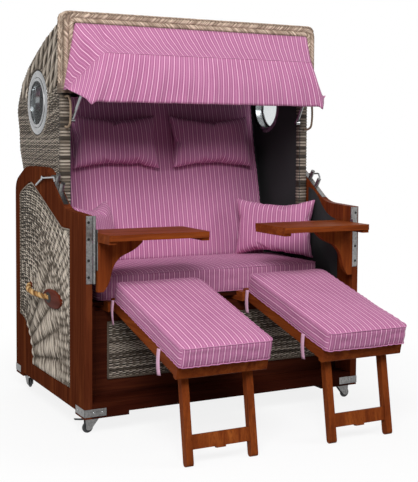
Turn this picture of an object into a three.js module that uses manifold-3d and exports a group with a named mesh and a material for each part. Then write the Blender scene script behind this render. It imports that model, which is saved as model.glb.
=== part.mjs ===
import * as THREE from 'three';
import { mergeVertices } from 'three/addons/utils/BufferGeometryUtils.js';
import Module from 'manifold-3d';

// Hooded two-seat beach chair: a wooden box on casters, a reclining wicker hood with an awning,
// two folding side tables and two pull-out footrests.
// Lengths are in millimetres and angles in degrees. X runs to the viewer's right, Y to the rear, Z up.
// Sizes are first given from the front plane of the box and the floor; the group is centred at the end.

// Shared by all pieces
const GAP = 0.3;
const OVERRUN = 20;
const WELD = 0.0005;
const CURVE_STEPS = 5;
const SIDES = 16;
const PIN_SIDES = 12;
const ROUND_STEPS = 32;

// Box: cheeks, rails and panels
const BOX_WIDTH = 1220;
const BOX_DEPTH = 858;
const CHEEK_THICKNESS = 30;
const BLOCK_BOTTOM = 62;
const BLOCK_DROP = 15;
const BLOCK_DEPTH = 100;
const BLOCK_WIDTH = 178;
const ARM_TOP = 818;
const ARM_RISE = 8;
const ARM_LENGTH = 213;
const ARM_ROUNDING = 50;
const CREST_TOP = 979;
const CREST_FRONT = 434;
const CREST_ROUNDING = 54;
const REAR_SLOPE_RUN = 158;
const REAR_SLOPE_DROP = 71;
const REAR_ROUNDING = 46;
const FRONT_STILE = 158;
const REAR_STILE = 54;
const BOTTOM_FRAME = 28;
const ARM_FRAME = 62;
const STEP_SETBACK = 38;
const CREST_FRAME = 58;
const PEAK_SETBACK = 60;
const SHOULDER_FRAME = 48;
const OPENING_ROUNDING = 36;
const CORNER_QUADRANT = 185;
const WICKER_THICKNESS = 14;
const RAIL_HEIGHT = 40;
const RAIL_THICKNESS = 28;
const LEDGE_THICKNESS = 18;
const REAR_PANEL_TOP = 560;
const REAR_FRAME_WIDTH = 60;
const REAR_RECESS = 9;
const REAR_FIELDS = 3;
const PANEL_FRONT = 110;
const PANEL_THICKNESS = 22;
const PANEL_SIDE_GAP = 85;
const PANEL_STILE = 47;
const PANEL_TOP_DROP = 28;
const PANEL_BOTTOM_FRAME = 57;
const PANEL_TOP_FRAME = 44;
const PANEL_WICKER_THICKNESS = 10;

// Seat
const SEAT_BOARD_THICKNESS = 12;
const SEAT_BOTTOM = 472;
const SEAT_THICKNESS = 103;
const SEAT_BACK_GAP = 7;
const SEAT_SIDE_GAP = 100;
const SEAT_CROWN = 8;

// Soft pieces: roundings, and how far their sides are drawn in
const CUSHION_ROUNDING = 22;
const CUSHION_DRAW_IN = 5;
const PILLOW_EDGE = 7;
const CROWN_POWER = 4;
const CUSHION_CELLS = [10, 8, 3];
const PILLOW_COLUMNS = 12;
const PILLOW_ROWS = 9;

// Casters
const CASTER_INSET_X = 43;
const CASTER_INSET_Y = 45;
const CASTER_TRAIL = 15;
const WHEEL_RADIUS = 21;
const WHEEL_WIDTH = 16;
const WHEEL_HUB_RADIUS = 12;
const WHEEL_DISH = 3;
const AXLE_RADIUS = 3;
const FORK_SHEET = 2.5;
const FORK_CLEARANCE = 1.5;
const FORK_TOP_HALF = 26;
const FORK_TOE_RADIUS = 9;
const SWIVEL_RADIUS = 22;
const SWIVEL_HEIGHT = 6;
const CROWN_SHEET = 4;
const BRAKE_REACH = 40;
const BRAKE_WIDTH = 12;
const BRAKE_SHEET = 4;

// Recline hardware on each cheek
const SLOPE_RAIL_WIDTH = 20;
const SLOPE_RAIL_THICKNESS = 3;
const SLOPE_RAIL_INSET = 22;
const STUD_RADIUS = 9;
const STUD_LENGTH = 44;
const STUD_SHARES = [0.34, 0.7];
const LEVER_RADIUS = 4;
const LEVER_PIVOT_Y = 458;
const LEVER_PIVOT_Z = 937;
const LEVER_HANDLE_REACH = 84;
const LEVER_HANDLE_DROP = 32;
const LEVER_ARM_REACH = 142;
const LEVER_ARM_RISE = 8;
const LEVER_HOOK_REACH = 12;
const LEVER_HOOK_DROP = 18;
const LEVER_BOSS_RADIUS = 9;
const LEVER_STANDOFF = 8;

// Carry handle on each cheek
const HANDLE_PLATE_SETBACK = 95;
const HANDLE_PLATE_LENGTH = 217;
const HANDLE_PLATE_Z = 459;
const HANDLE_PLATE_HEIGHT = 76;
const HANDLE_PLATE_THICKNESS = 12;
const HANDLE_BAR_OVERLAP = 70;
const HANDLE_BAR_REAR_GAP = 139;
const HANDLE_BAR_RISE = 16;
const HANDLE_BAR_RADIUS = 11;
const HANDLE_BAR_STEPS = 10;
const HANDLE_BOW = 34;

// Side tables and their upright hinges
const HINGE_INSET = 37;
const HINGE_Y = 6;
const HINGE_TOP_GAP = 2;
const HINGE_LENGTH = 250;
const HINGE_SHEET = 2;
const HINGE_LEAF_INSET = 6;
const KNUCKLE_RADIUS = 5.5;
const KNUCKLE_COUNT = 5;
const PIN_RADIUS = 2;
const TABLE_TOP = 755;
const TABLE_THICKNESS = 22;
const TABLE_LENGTH = 401;
const TABLE_HINGE_GAP = 1.5;
const TABLE_FRONT = 140;
const TABLE_REAR = 100;
const TABLE_CORNER = 8;
const BATTEN_WIDTH = 30;
const BATTEN_HEIGHT = 12;
const BRACKET_THICKNESS = 22;
const BRACKET_REACH = 176;
const BRACKET_DROP = 197;
const BRACKET_SHARES = [
  [1, 0.1], [0.8, 0.24], [0.55, 0.34], [0.42, 0.44], [0.33, 0.58], [0.25, 0.83], [0.13, 1],
];

// Footrests
const FOOTREST_PIVOT_Y = 88;
const FOOTREST_PIVOT_DROP = 4;
const FOOTREST_INCLINE = 14;
const FOOTREST_WIDTH = 350;
const FOOTREST_RAIL_THICKNESS = 22;
const FOOTREST_RAIL_HEIGHT = 37;
const FOOTREST_FRAME_REACH = 573;
const FOOTREST_FRAME_TAIL = 18;
const FOOTREST_SLAT_WIDTH = 50;
const FOOTREST_SLAT_THICKNESS = 12;
const FOOTREST_SLATS = 4;
const FOOTREST_BAR_DEPTH = 24;
const FOOTREST_BAR_HEIGHT = 46;
const FOOTREST_BAR_ROUNDING = 12;
const FOOTREST_CUSHION_LENGTH = 612;
const FOOTREST_CUSHION_OVERHANG = 12;
const FOOTREST_CUSHION_THICKNESS = 78;
const FOOTREST_CUSHION_TAIL = 2;
const FOOTREST_CUSHION_CROWN = 6;
const FOOTREST_PIN_RADIUS = 4;
const FOOTREST_PIN_LENGTH = 12;
const GUIDE_THICKNESS = 26;
const GUIDE_EAR_FRONT = 66;
const GUIDE_EAR_REAR = 112;
const GUIDE_EAR_RISE = 13;
const GUIDE_REAR = 220;
const GUIDE_SLAT_DEPTH = 40;
const LEG_SETBACK = 46.7;
const LEG_DROP = 19.25;
const LEG_SPLAY = 52;
const LEG_SIDE_GAP = 14.5;
const LEG_WIDTH = 27;
const LEG_DEPTH = 28;
const RUNG_BOTTOM = 55;
const RUNG_HEIGHT = 48;
const RUNG_THICKNESS = 16;
const RUNG_STUB_WIDTH = 36;
const RUNG_STUB_DROP = 6;

// Hood: side panels, shell, rim and inner back
const HOOD_SIDE_CLEARANCE = 8;
const HOOD_SIDE_THICKNESS = 35;
const HOOD_FRONT = 302;
const HOOD_DEPTH = 621;
const HOOD_FOOT_RISE = 148;
const HOOD_TOP = 1595;
const HOOD_PROFILE_SHARES = [
  [0.625, 0], [0.876, 0.358], [0.944, 0.436], [0.958, 0.524], [0.985, 0.575],
  [1, 0.608], [0.984, 0.64], [0.939, 0.682], [0.866, 0.738], [0.749, 0.793],
  [0.568, 0.85], [0.375, 0.901], [0.172, 0.944], [0.126, 0.953],
];
const HOOD_SHELL_THICKNESS = 18;
const HOOD_KEEL_RISE = 68;
const HOOD_KEEL_HALF = 60;
const HOOD_FRONT_FOOT_RISE = 188;
const POST_SETBACK = 45;
const HOOD_PIVOT_SETBACK = 5;
const HOOD_PIVOT_RISE = 108;
const HOOD_BOSS_RADIUS = 24;
const RIM_OVERHANG = 10;
const RIM_TOP_HEIGHT = 54;
const RIM_DEPTH = 78;
const RIM_SIDE_HEIGHT = 320;
const RIM_ROUNDING = 26;
const RIM_SOFTENING = 9;
const RIM_SOFT_STEPS = 2;
const BACK_LEAN = 12.4;
const BACK_SETBACK_SHARE = 0.4074;
const BACK_SEAT_GAP = 1;
const BACK_HEIGHT_SHARE = 0.6958;
const BACK_THICKNESS = 70;
const BACK_SIDE_GAP = 37;
const BACK_CROWN = 6;
const BACK_BOARD_THICKNESS = 12;
const BACK_BOARD_TAIL = 10;
const NECK_PILLOW_MARGIN = 80;
const NECK_PILLOW_HEIGHT = 250;
const NECK_PILLOW_THICKNESS = 92;
const NECK_PILLOW_SIDE_SHARE = 0.47;
const NECK_PILLOW_SHARE = 0.722;
const SCATTER_WIDTH = 385;
const SCATTER_HEIGHT = 268;
const SCATTER_THICKNESS = 112;
const SCATTER_SIDE_GAP = 7;
const SCATTER_REAR_GAP = 12;
const SCATTER_SETTLE = 0.92;
const SCATTER_TURN = 48;
const SCATTER_LEAN = 8;
const PILLOW_PINCH_SHARE = 0.07;

// Portholes
const PORTHOLE_SETBACK = 343;
const PORTHOLE_HEIGHT_SHARE = 0.4318;
const RING_RADIUS = 135;
const RING_LIP = 17;
const RING_WALL = 23;
const RING_FLANGE = 8;
const PANE_LIP = 9;
const PANE_SHEET = 3.7;
const PANE_PLUG = 6;
const PANE_CLEARANCE = 1.2;
const PANE_HINGE_GAP = 1;
const PANE_LUG_SIZE = 12;
const PANE_LUG_RISE = 8;
const PANE_HINGE_TILT = 26.6;

// Awning, its bow and the rope loops
const BOW_WALL_GAP = 11;
const BOW_PIVOT_SETBACK = 53;
const BOW_PIVOT_DROP = 425;
const BOW_ELBOW = [23, 37, 307];
const BOW_SHOULDER = [53, 98, 215];
const BOW_BAR_INSET = 97;
const BOW_BAR_DIP = 28.8;
const BOW_CREASE_GAP = 4.41;
const BOW_ROUNDING = 24;
const BOW_RADIUS = 7;
const AWNING_SHEET = 3;
const AWNING_COLUMNS = 16;
const AWNING_ATTACH = [0, 2.2, 48];
const AWNING_CREASE = [67, 142, 170];
const AWNING_HEM = [12, 152, 357];
const AWNING_TIP = [-55, 70, 309];
const AWNING_RETURN = [-47, 2.2, 309];
const AWNING_FOLD = [-51, 36.1, 309];
const AWNING_GUSSET_SHARE = 0.125;
const AWNING_WAVES = 9;
const AWNING_WAVE_HEIGHT = 3;
const ROPE_RADIUS = 5;
const ROPE_INSET = 12;
const ROPE_DROP = 13;
const ROPE_LENGTH = 122;
const ROPE_BULGE = 62;
const ROPE_BELLY_SHARES = [
  [0, 1], [0.62, 1.02], [1, 0.84], [1.02, 0.42], [0.9, 0.1], [0.45, 0], [0, 0.03],
];

// Sizes that follow from those above
const HALF_WIDTH = BOX_WIDTH / 2;
const CHEEK_INNER = HALF_WIDTH - CHEEK_THICKNESS;
const BETWEEN_CHEEKS = CHEEK_INNER - GAP;
const WICKER_INNER = CHEEK_INNER + (CHEEK_THICKNESS - WICKER_THICKNESS) / 2;
const RAIL_BOTTOM = BLOCK_BOTTOM + BLOCK_DROP;
const RAIL_TOP = RAIL_BOTTOM + RAIL_HEIGHT;
const SLOPE_FOOT = ARM_TOP + ARM_RISE;
const CREST_REAR = BOX_DEPTH - REAR_SLOPE_RUN;
const REAR_SHOULDER = CREST_TOP - REAR_SLOPE_DROP;
const OPENING_BOTTOM = RAIL_TOP + BOTTOM_FRAME;
const OPENING_REAR = BOX_DEPTH - REAR_STILE;
const PANEL_REAR = PANEL_FRONT + PANEL_THICKNESS;
const PANEL_HALF_WIDTH = HALF_WIDTH - PANEL_SIDE_GAP;
const PANEL_OPENING_HALF = PANEL_HALF_WIDTH - PANEL_STILE;
const PANEL_OPENING_BOTTOM = RAIL_TOP + PANEL_BOTTOM_FRAME;
const PANEL_TOP = SEAT_BOTTOM - PANEL_TOP_DROP;
const PANEL_OPENING_TOP = PANEL_TOP - PANEL_TOP_FRAME;
const SEAT_TOP = SEAT_BOTTOM + SEAT_THICKNESS;
const SEAT_HALF_WIDTH = HALF_WIDTH - SEAT_SIDE_GAP;
const SEAT_BOARD_TOP = SEAT_BOTTOM - GAP;
const SEAT_BOARD_BOTTOM = SEAT_BOARD_TOP - SEAT_BOARD_THICKNESS;
const HANDLE_PLATE_FRONT = FRONT_STILE + HANDLE_PLATE_SETBACK;
const HANDLE_PLATE_REAR = HANDLE_PLATE_FRONT + HANDLE_PLATE_LENGTH;
const HANDLE_BAR_FRONT = HANDLE_PLATE_REAR - HANDLE_BAR_OVERLAP;
const HANDLE_BAR_REAR = OPENING_REAR - HANDLE_BAR_REAR_GAP;
const HINGE_X = HALF_WIDTH - HINGE_INSET;
const HINGE_TOP = ARM_TOP - HINGE_TOP_GAP;
const HINGE_BOTTOM = HINGE_TOP - HINGE_LENGTH;
const HINGE_LEAF_OUTER = HALF_WIDTH - HINGE_LEAF_INSET;
const TABLE_UNDERSIDE = TABLE_TOP - TABLE_THICKNESS;
const TABLE_OUTER = HINGE_X - KNUCKLE_RADIUS - TABLE_HINGE_GAP;
const TABLE_INNER = TABLE_OUTER - TABLE_LENGTH;
const FOOTREST_CENTRE = CHEEK_INNER / 2;
const FOOTREST_PIVOT_Z = SEAT_BOTTOM - FOOTREST_PIVOT_DROP;
const LEG_SPREAD = FOOTREST_WIDTH / 2 - FOOTREST_RAIL_THICKNESS - LEG_SIDE_GAP - LEG_WIDTH / 2;
const HOOD_SIDE_OUTER = CHEEK_INNER - HOOD_SIDE_CLEARANCE;
const HOOD_SIDE_INNER = HOOD_SIDE_OUTER - HOOD_SIDE_THICKNESS;
const HOOD_FOOT = SEAT_BOTTOM + HOOD_FOOT_RISE;
const HOOD_KEEL_Z = SEAT_BOTTOM + HOOD_KEEL_RISE;
const POST_FRONT = HOOD_FRONT + POST_SETBACK;
const RIM_HALF_WIDTH = HOOD_SIDE_OUTER + RIM_OVERHANG;
const RIM_FOOT = HOOD_TOP - RIM_SIDE_HEIGHT;
const INCLINE = THREE.MathUtils.degToRad(FOOTREST_INCLINE);
const LEAN = THREE.MathUtils.degToRad(BACK_LEAN);
const BACK_FRONT = HOOD_FRONT + BACK_SETBACK_SHARE * HOOD_DEPTH;
const BACK_BOTTOM = SEAT_TOP + BACK_SEAT_GAP;
const SEAT_REAR = BACK_FRONT - SEAT_BACK_GAP;
const HOOD_PIVOT_Y = BACK_FRONT + HOOD_PIVOT_SETBACK;
const HOOD_PIVOT_Z = SEAT_BOTTOM + HOOD_PIVOT_RISE;
const BACK_LENGTH = (BACK_HEIGHT_SHARE * (HOOD_TOP - BACK_BOTTOM)) / Math.cos(LEAN);
const BACK_HALF_WIDTH = HOOD_SIDE_INNER - BACK_SIDE_GAP;
const NECK_PILLOW_WIDTH = BACK_HALF_WIDTH - NECK_PILLOW_MARGIN;
const NECK_PILLOW_X = NECK_PILLOW_SIDE_SHARE * BACK_HALF_WIDTH;
const NECK_PILLOW_LIFT = NECK_PILLOW_SHARE * BACK_LENGTH;
const RING_SLEEVE = RING_RADIUS - RING_LIP;
const RING_BORE = RING_SLEEVE - RING_WALL;
const PANE_BEZEL = RING_BORE + PANE_LIP;
const PANE_HINGE_RADIUS = PANE_BEZEL + PANE_HINGE_GAP;
const PORTHOLE_Y = HOOD_FRONT + PORTHOLE_SETBACK;
const PORTHOLE_Z = CREST_TOP + PORTHOLE_HEIGHT_SHARE * (HOOD_TOP - CREST_TOP);
const ROPE_TOP = RIM_FOOT - ROPE_DROP;
const ROPE_BOTTOM = ROPE_TOP - ROPE_LENGTH;

// Materials
const wood = { color: 0x6e2f16, roughness: 0.38, metalness: 0 };
const wicker = { color: 0x9d8a76, roughness: 0.72, metalness: 0 };
const weave = { color: 0x8d8375, roughness: 0.72, metalness: 0 };
const cloth = { color: 0xb7709f, roughness: 0.9, metalness: 0 };
const chrome = { color: 0xc9ccd0, roughness: 0.16, metalness: 1 };
const steel = { color: 0xa7abb0, roughness: 0.34, metalness: 1 };
const rubber = { color: 0x2a2c2f, roughness: 0.6, metalness: 0 };
const glass = { color: 0xaab4bb, roughness: 0.05, metalness: 0, transparent: true, opacity: 0.45 };
const lining = { color: 0x2b2b2e, roughness: 0.85, metalness: 0 };
const rope = { color: 0xb58a52, roughness: 0.8, metalness: 0 };

const wasm = await Module();
wasm.setup();

// Joining and cutting
function welded(geometry) {
  const bare = geometry.clone();
  bare.deleteAttribute('normal');
  bare.deleteAttribute('uv');
  return mergeVertices(bare, WELD);
}

function solidOf(geometry) {
  const bare = welded(geometry);
  return new wasm.Manifold(new wasm.Mesh({
    numProp: 3,
    vertProperties: new Float32Array(bare.attributes.position.array),
    triVerts: new Uint32Array(bare.index.array),
  }));
}

function geometryOf(solid) {
  const mesh = solid.getMesh();
  const geometry = new THREE.BufferGeometry();
  geometry.setAttribute('position', new THREE.BufferAttribute(mesh.vertProperties, 3));
  geometry.setIndex(new THREE.BufferAttribute(mesh.triVerts, 1));
  return geometry;
}

function join(...pieces) {
  return geometryOf(pieces.map(solidOf).reduce((whole, piece) => whole.add(piece)));
}

function cut(body, ...tools) {
  return geometryOf(tools.map(solidOf).reduce((whole, tool) => whole.subtract(tool), solidOf(body)));
}

// Turns a right-hand piece into its left-hand twin, with its faces still pointing out
function mirrored(geometry) {
  const twin = welded(geometry).scale(-1, 1, 1);
  const index = twin.index.array;
  for (let i = 0; i < index.length; i += 3) {
    [index[i], index[i + 1]] = [index[i + 1], index[i]];
  }
  return twin;
}

// Basic shapes
function box([x0, x1], [y0, y1], [z0, z1]) {
  const block = new THREE.BoxGeometry(x1 - x0, y1 - y0, z1 - z0);
  return block.translate((x0 + x1) / 2, (y0 + y1) / 2, (z0 + z1) / 2);
}

// A closed outline from corners [a, b, rounding]
function outline(corners) {
  const shape = new THREE.Shape();
  corners.forEach(([a, b, rounding = 0], i) => {
    const corner = new THREE.Vector2(a, b);
    const before = new THREE.Vector2(...corners.at(i - 1));
    const after = new THREE.Vector2(...corners[(i + 1) % corners.length]);
    const entry = corner.clone().add(before.sub(corner).setLength(rounding));
    const exit = corner.clone().add(after.sub(corner).setLength(rounding));
    if (i === 0) {
      shape.moveTo(entry.x, entry.y);
    } else {
      shape.lineTo(entry.x, entry.y);
    }
    if (rounding > 0) {
      shape.quadraticCurveTo(corner.x, corner.y, exit.x, exit.y);
    }
  });
  shape.closePath();
  return shape;
}

// A band of even thickness that follows a line of points, on the left of its direction
function band(line, thickness) {
  const inner = line.map((point, i) => {
    const along = line[Math.min(i + 1, line.length - 1)].clone().sub(line[Math.max(i - 1, 0)]);
    return point.clone().add(new THREE.Vector2(-along.y, along.x).setLength(thickness));
  });
  return new THREE.Shape([...line, ...inner.reverse()]);
}

function extruded(shape, depth) {
  return new THREE.ExtrudeGeometry(shape, { depth, bevelEnabled: false, curveSegments: CURVE_STEPS });
}

// Extrudes an outline drawn in (y, z) from x0 to x1
function plateAcross(shape, x0, x1) {
  const turn = new THREE.Matrix4().makeBasis(
    new THREE.Vector3(0, 1, 0),
    new THREE.Vector3(0, 0, 1),
    new THREE.Vector3(1, 0, 0),
  );
  return extruded(shape, x1 - x0).applyMatrix4(turn).translate(x0, 0, 0);
}

// Turns an extrusion of an (x, z) outline upright, with its far face at y1
function upright(geometry, y1) {
  return geometry.rotateX(Math.PI / 2).translate(0, y1, 0);
}

// Extrudes an outline drawn in (x, z) from y0 to y1
function plateUpright(shape, y0, y1) {
  return upright(extruded(shape, y1 - y0), y1);
}

function rod(from, to, radius, sides = SIDES) {
  const start = new THREE.Vector3(...from);
  const end = new THREE.Vector3(...to);
  const bar = new THREE.CylinderGeometry(radius, radius, start.distanceTo(end), sides);
  const up = new THREE.Vector3(0, 1, 0);
  bar.applyQuaternion(new THREE.Quaternion().setFromUnitVectors(up, end.clone().sub(start).normalize()));
  const middle = start.add(end).multiplyScalar(1 / 2);
  return bar.translate(middle.x, middle.y, middle.z);
}

function tube(curve, radius, steps, sides) {
  const section = Array.from({ length: sides }, (_, i) => {
    const angle = (2 * Math.PI * i) / sides;
    return new THREE.Vector2(radius * Math.cos(angle), radius * Math.sin(angle));
  });
  const settings = { steps, extrudePath: curve, bevelEnabled: false };
  return new THREE.ExtrudeGeometry(new THREE.Shape(section), settings);
}

// A path through points, with its corners rounded
function roundedPath(points, rounding) {
  const path = new THREE.CurvePath();
  let from = points[0];
  points.slice(1, -1).forEach((corner, i) => {
    const entry = points[i].clone().sub(corner).setLength(rounding).add(corner);
    const exit = points[i + 2].clone().sub(corner).setLength(rounding).add(corner);
    path.add(new THREE.LineCurve3(from, entry));
    path.add(new THREE.QuadraticBezierCurve3(entry, corner, exit));
    from = exit;
  });
  path.add(new THREE.LineCurve3(from, points.at(-1)));
  return path;
}

// Revolves a closed profile of [radius, height] about the X axis
function turnedAcross(profile, steps) {
  const points = [...profile, profile[0]].map(([radius, height]) => new THREE.Vector2(radius, height));
  return new THREE.LatheGeometry(points, steps).rotateZ(-Math.PI / 2);
}

// How much of a cushion's crown stands at a place given as shares of its half sizes
function crownShare(u, v) {
  return (1 - Math.abs(u) ** CROWN_POWER) * (1 - Math.abs(v) ** CROWN_POWER);
}

// A box cushion: rounded edges, a crown on its upper face and sides drawn in between its seams.
// It is centred in X and Y, with its lower face at zero height.
function boxCushion(width, length, thickness, crown) {
  const half = new THREE.Vector3(width / 2, length / 2, (thickness - crown) / 2);
  const core = half.clone().subScalar(CUSHION_ROUNDING);
  const cushion = welded(new THREE.BoxGeometry(...half.clone().multiplyScalar(2), ...CUSHION_CELLS));
  const place = cushion.attributes.position;
  const point = new THREE.Vector3();
  for (let i = 0; i < place.count; i += 1) {
    point.fromBufferAttribute(place, i);
    const share = point.clone().divide(half);
    const inner = point.clone().clamp(core.clone().negate(), core);
    const outward = point.clone().sub(inner);
    if (outward.lengthSq() > 0) {
      point.copy(inner).add(outward.setLength(CUSHION_ROUNDING));
    }
    const waist = CUSHION_DRAW_IN * (1 - share.z ** 2);
    point.x -= waist * Math.sign(share.x) * Math.abs(share.x) ** CROWN_POWER;
    point.y -= waist * Math.sign(share.y) * Math.abs(share.y) ** CROWN_POWER;
    point.z += half.z + (crown * crownShare(share.x, share.y) * (1 + share.z)) / 2;
    place.setXYZ(i, point.x, point.y, point.z);
  }
  return cushion;
}

// A loose pillow with pointed corners, thin seams and sides drawn in between the corners.
// It stands in the X and Z directions, centred, with its thickness along Y.
function pillow(width, height, thickness) {
  const block = new THREE.BoxGeometry(width, thickness, height, PILLOW_COLUMNS, 1, PILLOW_ROWS);
  const shell = welded(block);
  const place = shell.attributes.position;
  for (let i = 0; i < place.count; i += 1) {
    const u = (2 * place.getX(i)) / width;
    const v = (2 * place.getZ(i)) / height;
    const swell = Math.sqrt(Math.max((1 - u ** 2) * (1 - v ** 2), 0));
    const depth = (PILLOW_EDGE + (thickness - PILLOW_EDGE) * swell) / 2;
    const x = place.getX(i) * (1 - PILLOW_PINCH_SHARE * (1 - v ** 2));
    const z = place.getZ(i) * (1 - PILLOW_PINCH_SHARE * (1 - u ** 2));
    place.setXYZ(i, x, Math.sign(place.getY(i)) * depth, z);
  }
  return shell;
}

// A closed sheet of even thickness from rows of points, thickened on the side that faces the rear
function sheet(rows, thickness) {
  const count = rows.length;
  const columns = rows[0].length;
  const at = (row, column) => rows[row][column];
  const back = rows.map((line, r) => line.map((point, c) => {
    const across = at(r, Math.min(c + 1, columns - 1)).clone().sub(at(r, Math.max(c - 1, 0)));
    const down = at(Math.min(r + 1, count - 1), c).clone().sub(at(Math.max(r - 1, 0), c));
    return point.clone().add(down.cross(across).setLength(-thickness));
  }));
  const positions = [rows, back].flat(2).flatMap((point) => point.toArray());
  const id = (side, r, c) => (side * count + r) * columns + c;
  const faces = [];
  const quad = (a, b, c, d) => faces.push(a, b, c, a, c, d);
  for (let r = 0; r < count - 1; r += 1) {
    for (let c = 0; c < columns - 1; c += 1) {
      quad(id(0, r, c), id(0, r + 1, c), id(0, r + 1, c + 1), id(0, r, c + 1));
      quad(id(1, r, c), id(1, r, c + 1), id(1, r + 1, c + 1), id(1, r + 1, c));
    }
  }
  for (let c = 0; c < columns - 1; c += 1) {
    quad(id(0, 0, c), id(0, 0, c + 1), id(1, 0, c + 1), id(1, 0, c));
    quad(id(0, count - 1, c + 1), id(0, count - 1, c), id(1, count - 1, c), id(1, count - 1, c + 1));
  }
  for (let r = 0; r < count - 1; r += 1) {
    quad(id(0, r + 1, 0), id(0, r, 0), id(1, r, 0), id(1, r + 1, 0));
    quad(id(0, r, columns - 1), id(0, r + 1, columns - 1), id(1, r + 1, columns - 1), id(1, r, columns - 1));
  }
  const geometry = new THREE.BufferGeometry();
  geometry.setAttribute('position', new THREE.Float32BufferAttribute(positions, 3));
  geometry.setIndex(faces);
  return geometry;
}

// Box: cheek with its curved top, corner quadrant and blocks at both feet
function cheekOutline() {
  return outline([
    [0, BLOCK_BOTTOM],
    [0, ARM_TOP],
    [ARM_LENGTH, SLOPE_FOOT, ARM_ROUNDING],
    [CREST_FRONT, CREST_TOP, CREST_ROUNDING],
    [CREST_REAR, CREST_TOP, REAR_ROUNDING],
    [BOX_DEPTH, REAR_SHOULDER, REAR_ROUNDING],
    [BOX_DEPTH, BLOCK_BOTTOM],
    [BOX_DEPTH - BLOCK_DEPTH, BLOCK_BOTTOM],
    [BOX_DEPTH - BLOCK_DEPTH, RAIL_BOTTOM],
    [BLOCK_DEPTH, RAIL_BOTTOM],
    [BLOCK_DEPTH, BLOCK_BOTTOM],
  ]);
}

function cheekOpening(inset) {
  const front = FRONT_STILE + inset;
  const rear = OPENING_REAR - inset;
  const bottom = OPENING_BOTTOM + inset;
  const step = ARM_TOP - ARM_FRAME - inset;
  return outline([
    [front, bottom],
    [front, step],
    [ARM_LENGTH + STEP_SETBACK + inset, step],
    [CREST_REAR - PEAK_SETBACK, CREST_TOP - CREST_FRAME - inset, OPENING_ROUNDING],
    [rear, REAR_SHOULDER - SHOULDER_FRAME - inset, OPENING_ROUNDING],
    [rear, bottom],
  ]);
}

// The round wooden corner that the opening leaves at its lower rear
function cornerQuadrant(radius) {
  return rod(
    [CHEEK_INNER - 2 * OVERRUN, OPENING_REAR, OPENING_BOTTOM],
    [HALF_WIDTH + 2 * OVERRUN, OPENING_REAR, OPENING_BOTTOM],
    radius,
    ROUND_STEPS,
  );
}

function cheek() {
  const board = plateAcross(cheekOutline(), CHEEK_INNER, HALF_WIDTH);
  const opening = plateAcross(cheekOpening(0), CHEEK_INNER - OVERRUN, HALF_WIDTH + OVERRUN);
  return cut(board, cut(opening, cornerQuadrant(CORNER_QUADRANT)));
}

function cheekWicker() {
  const panel = plateAcross(cheekOpening(GAP), WICKER_INNER, WICKER_INNER + WICKER_THICKNESS);
  return cut(panel, cornerQuadrant(CORNER_QUADRANT + GAP));
}

// A rail between the cheeks, with a block under each end
function railWithBlocks(front, rear, blockFront, blockRear, top) {
  const blockInner = HALF_WIDTH - BLOCK_WIDTH;
  return join(
    box([-BETWEEN_CHEEKS, BETWEEN_CHEEKS], [front, rear], [RAIL_BOTTOM, top]),
    box([blockInner, BETWEEN_CHEEKS], [blockFront, blockRear], [BLOCK_BOTTOM, RAIL_TOP]),
    box([-BETWEEN_CHEEKS, -blockInner], [blockFront, blockRear], [BLOCK_BOTTOM, RAIL_TOP]),
  );
}

function frontRail() {
  const ledge = box(
    [-BETWEEN_CHEEKS, BETWEEN_CHEEKS],
    [0, PANEL_REAR],
    [RAIL_TOP - LEDGE_THICKNESS, RAIL_TOP],
  );
  return join(railWithBlocks(0, RAIL_THICKNESS, 0, BLOCK_DEPTH, RAIL_TOP), ledge);
}

function rearPanel() {
  const inner = BOX_DEPTH - RAIL_THICKNESS;
  const board = railWithBlocks(inner, BOX_DEPTH, BOX_DEPTH - BLOCK_DEPTH, BOX_DEPTH, REAR_PANEL_TOP);
  const pitch = (2 * BETWEEN_CHEEKS - REAR_FRAME_WIDTH) / REAR_FIELDS;
  const fields = Array.from({ length: REAR_FIELDS }, (_, i) => {
    const start = -BETWEEN_CHEEKS + REAR_FRAME_WIDTH + i * pitch;
    return box(
      [start, start + pitch - REAR_FRAME_WIDTH],
      [BOX_DEPTH - REAR_RECESS, BOX_DEPTH + OVERRUN],
      [RAIL_TOP + REAR_FRAME_WIDTH, REAR_PANEL_TOP - REAR_FRAME_WIDTH],
    );
  });
  return cut(board, ...fields);
}

function seatBoard() {
  return box(
    [-BETWEEN_CHEEKS, BETWEEN_CHEEKS],
    [PANEL_REAR, SEAT_REAR],
    [SEAT_BOARD_BOTTOM, SEAT_BOARD_TOP],
  );
}

function frontPanelFrame() {
  return cut(
    box([-PANEL_HALF_WIDTH, PANEL_HALF_WIDTH], [PANEL_FRONT, PANEL_REAR], [RAIL_TOP + GAP, PANEL_TOP]),
    box(
      [-PANEL_OPENING_HALF, PANEL_OPENING_HALF],
      [PANEL_FRONT - OVERRUN, PANEL_REAR + OVERRUN],
      [PANEL_OPENING_BOTTOM, PANEL_OPENING_TOP],
    ),
  );
}

function frontPanelWicker() {
  const front = PANEL_FRONT + (PANEL_THICKNESS - PANEL_WICKER_THICKNESS) / 2;
  const half = PANEL_OPENING_HALF - GAP;
  return box(
    [-half, half],
    [front, front + PANEL_WICKER_THICKNESS],
    [PANEL_OPENING_BOTTOM + GAP, PANEL_OPENING_TOP - GAP],
  );
}

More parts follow.
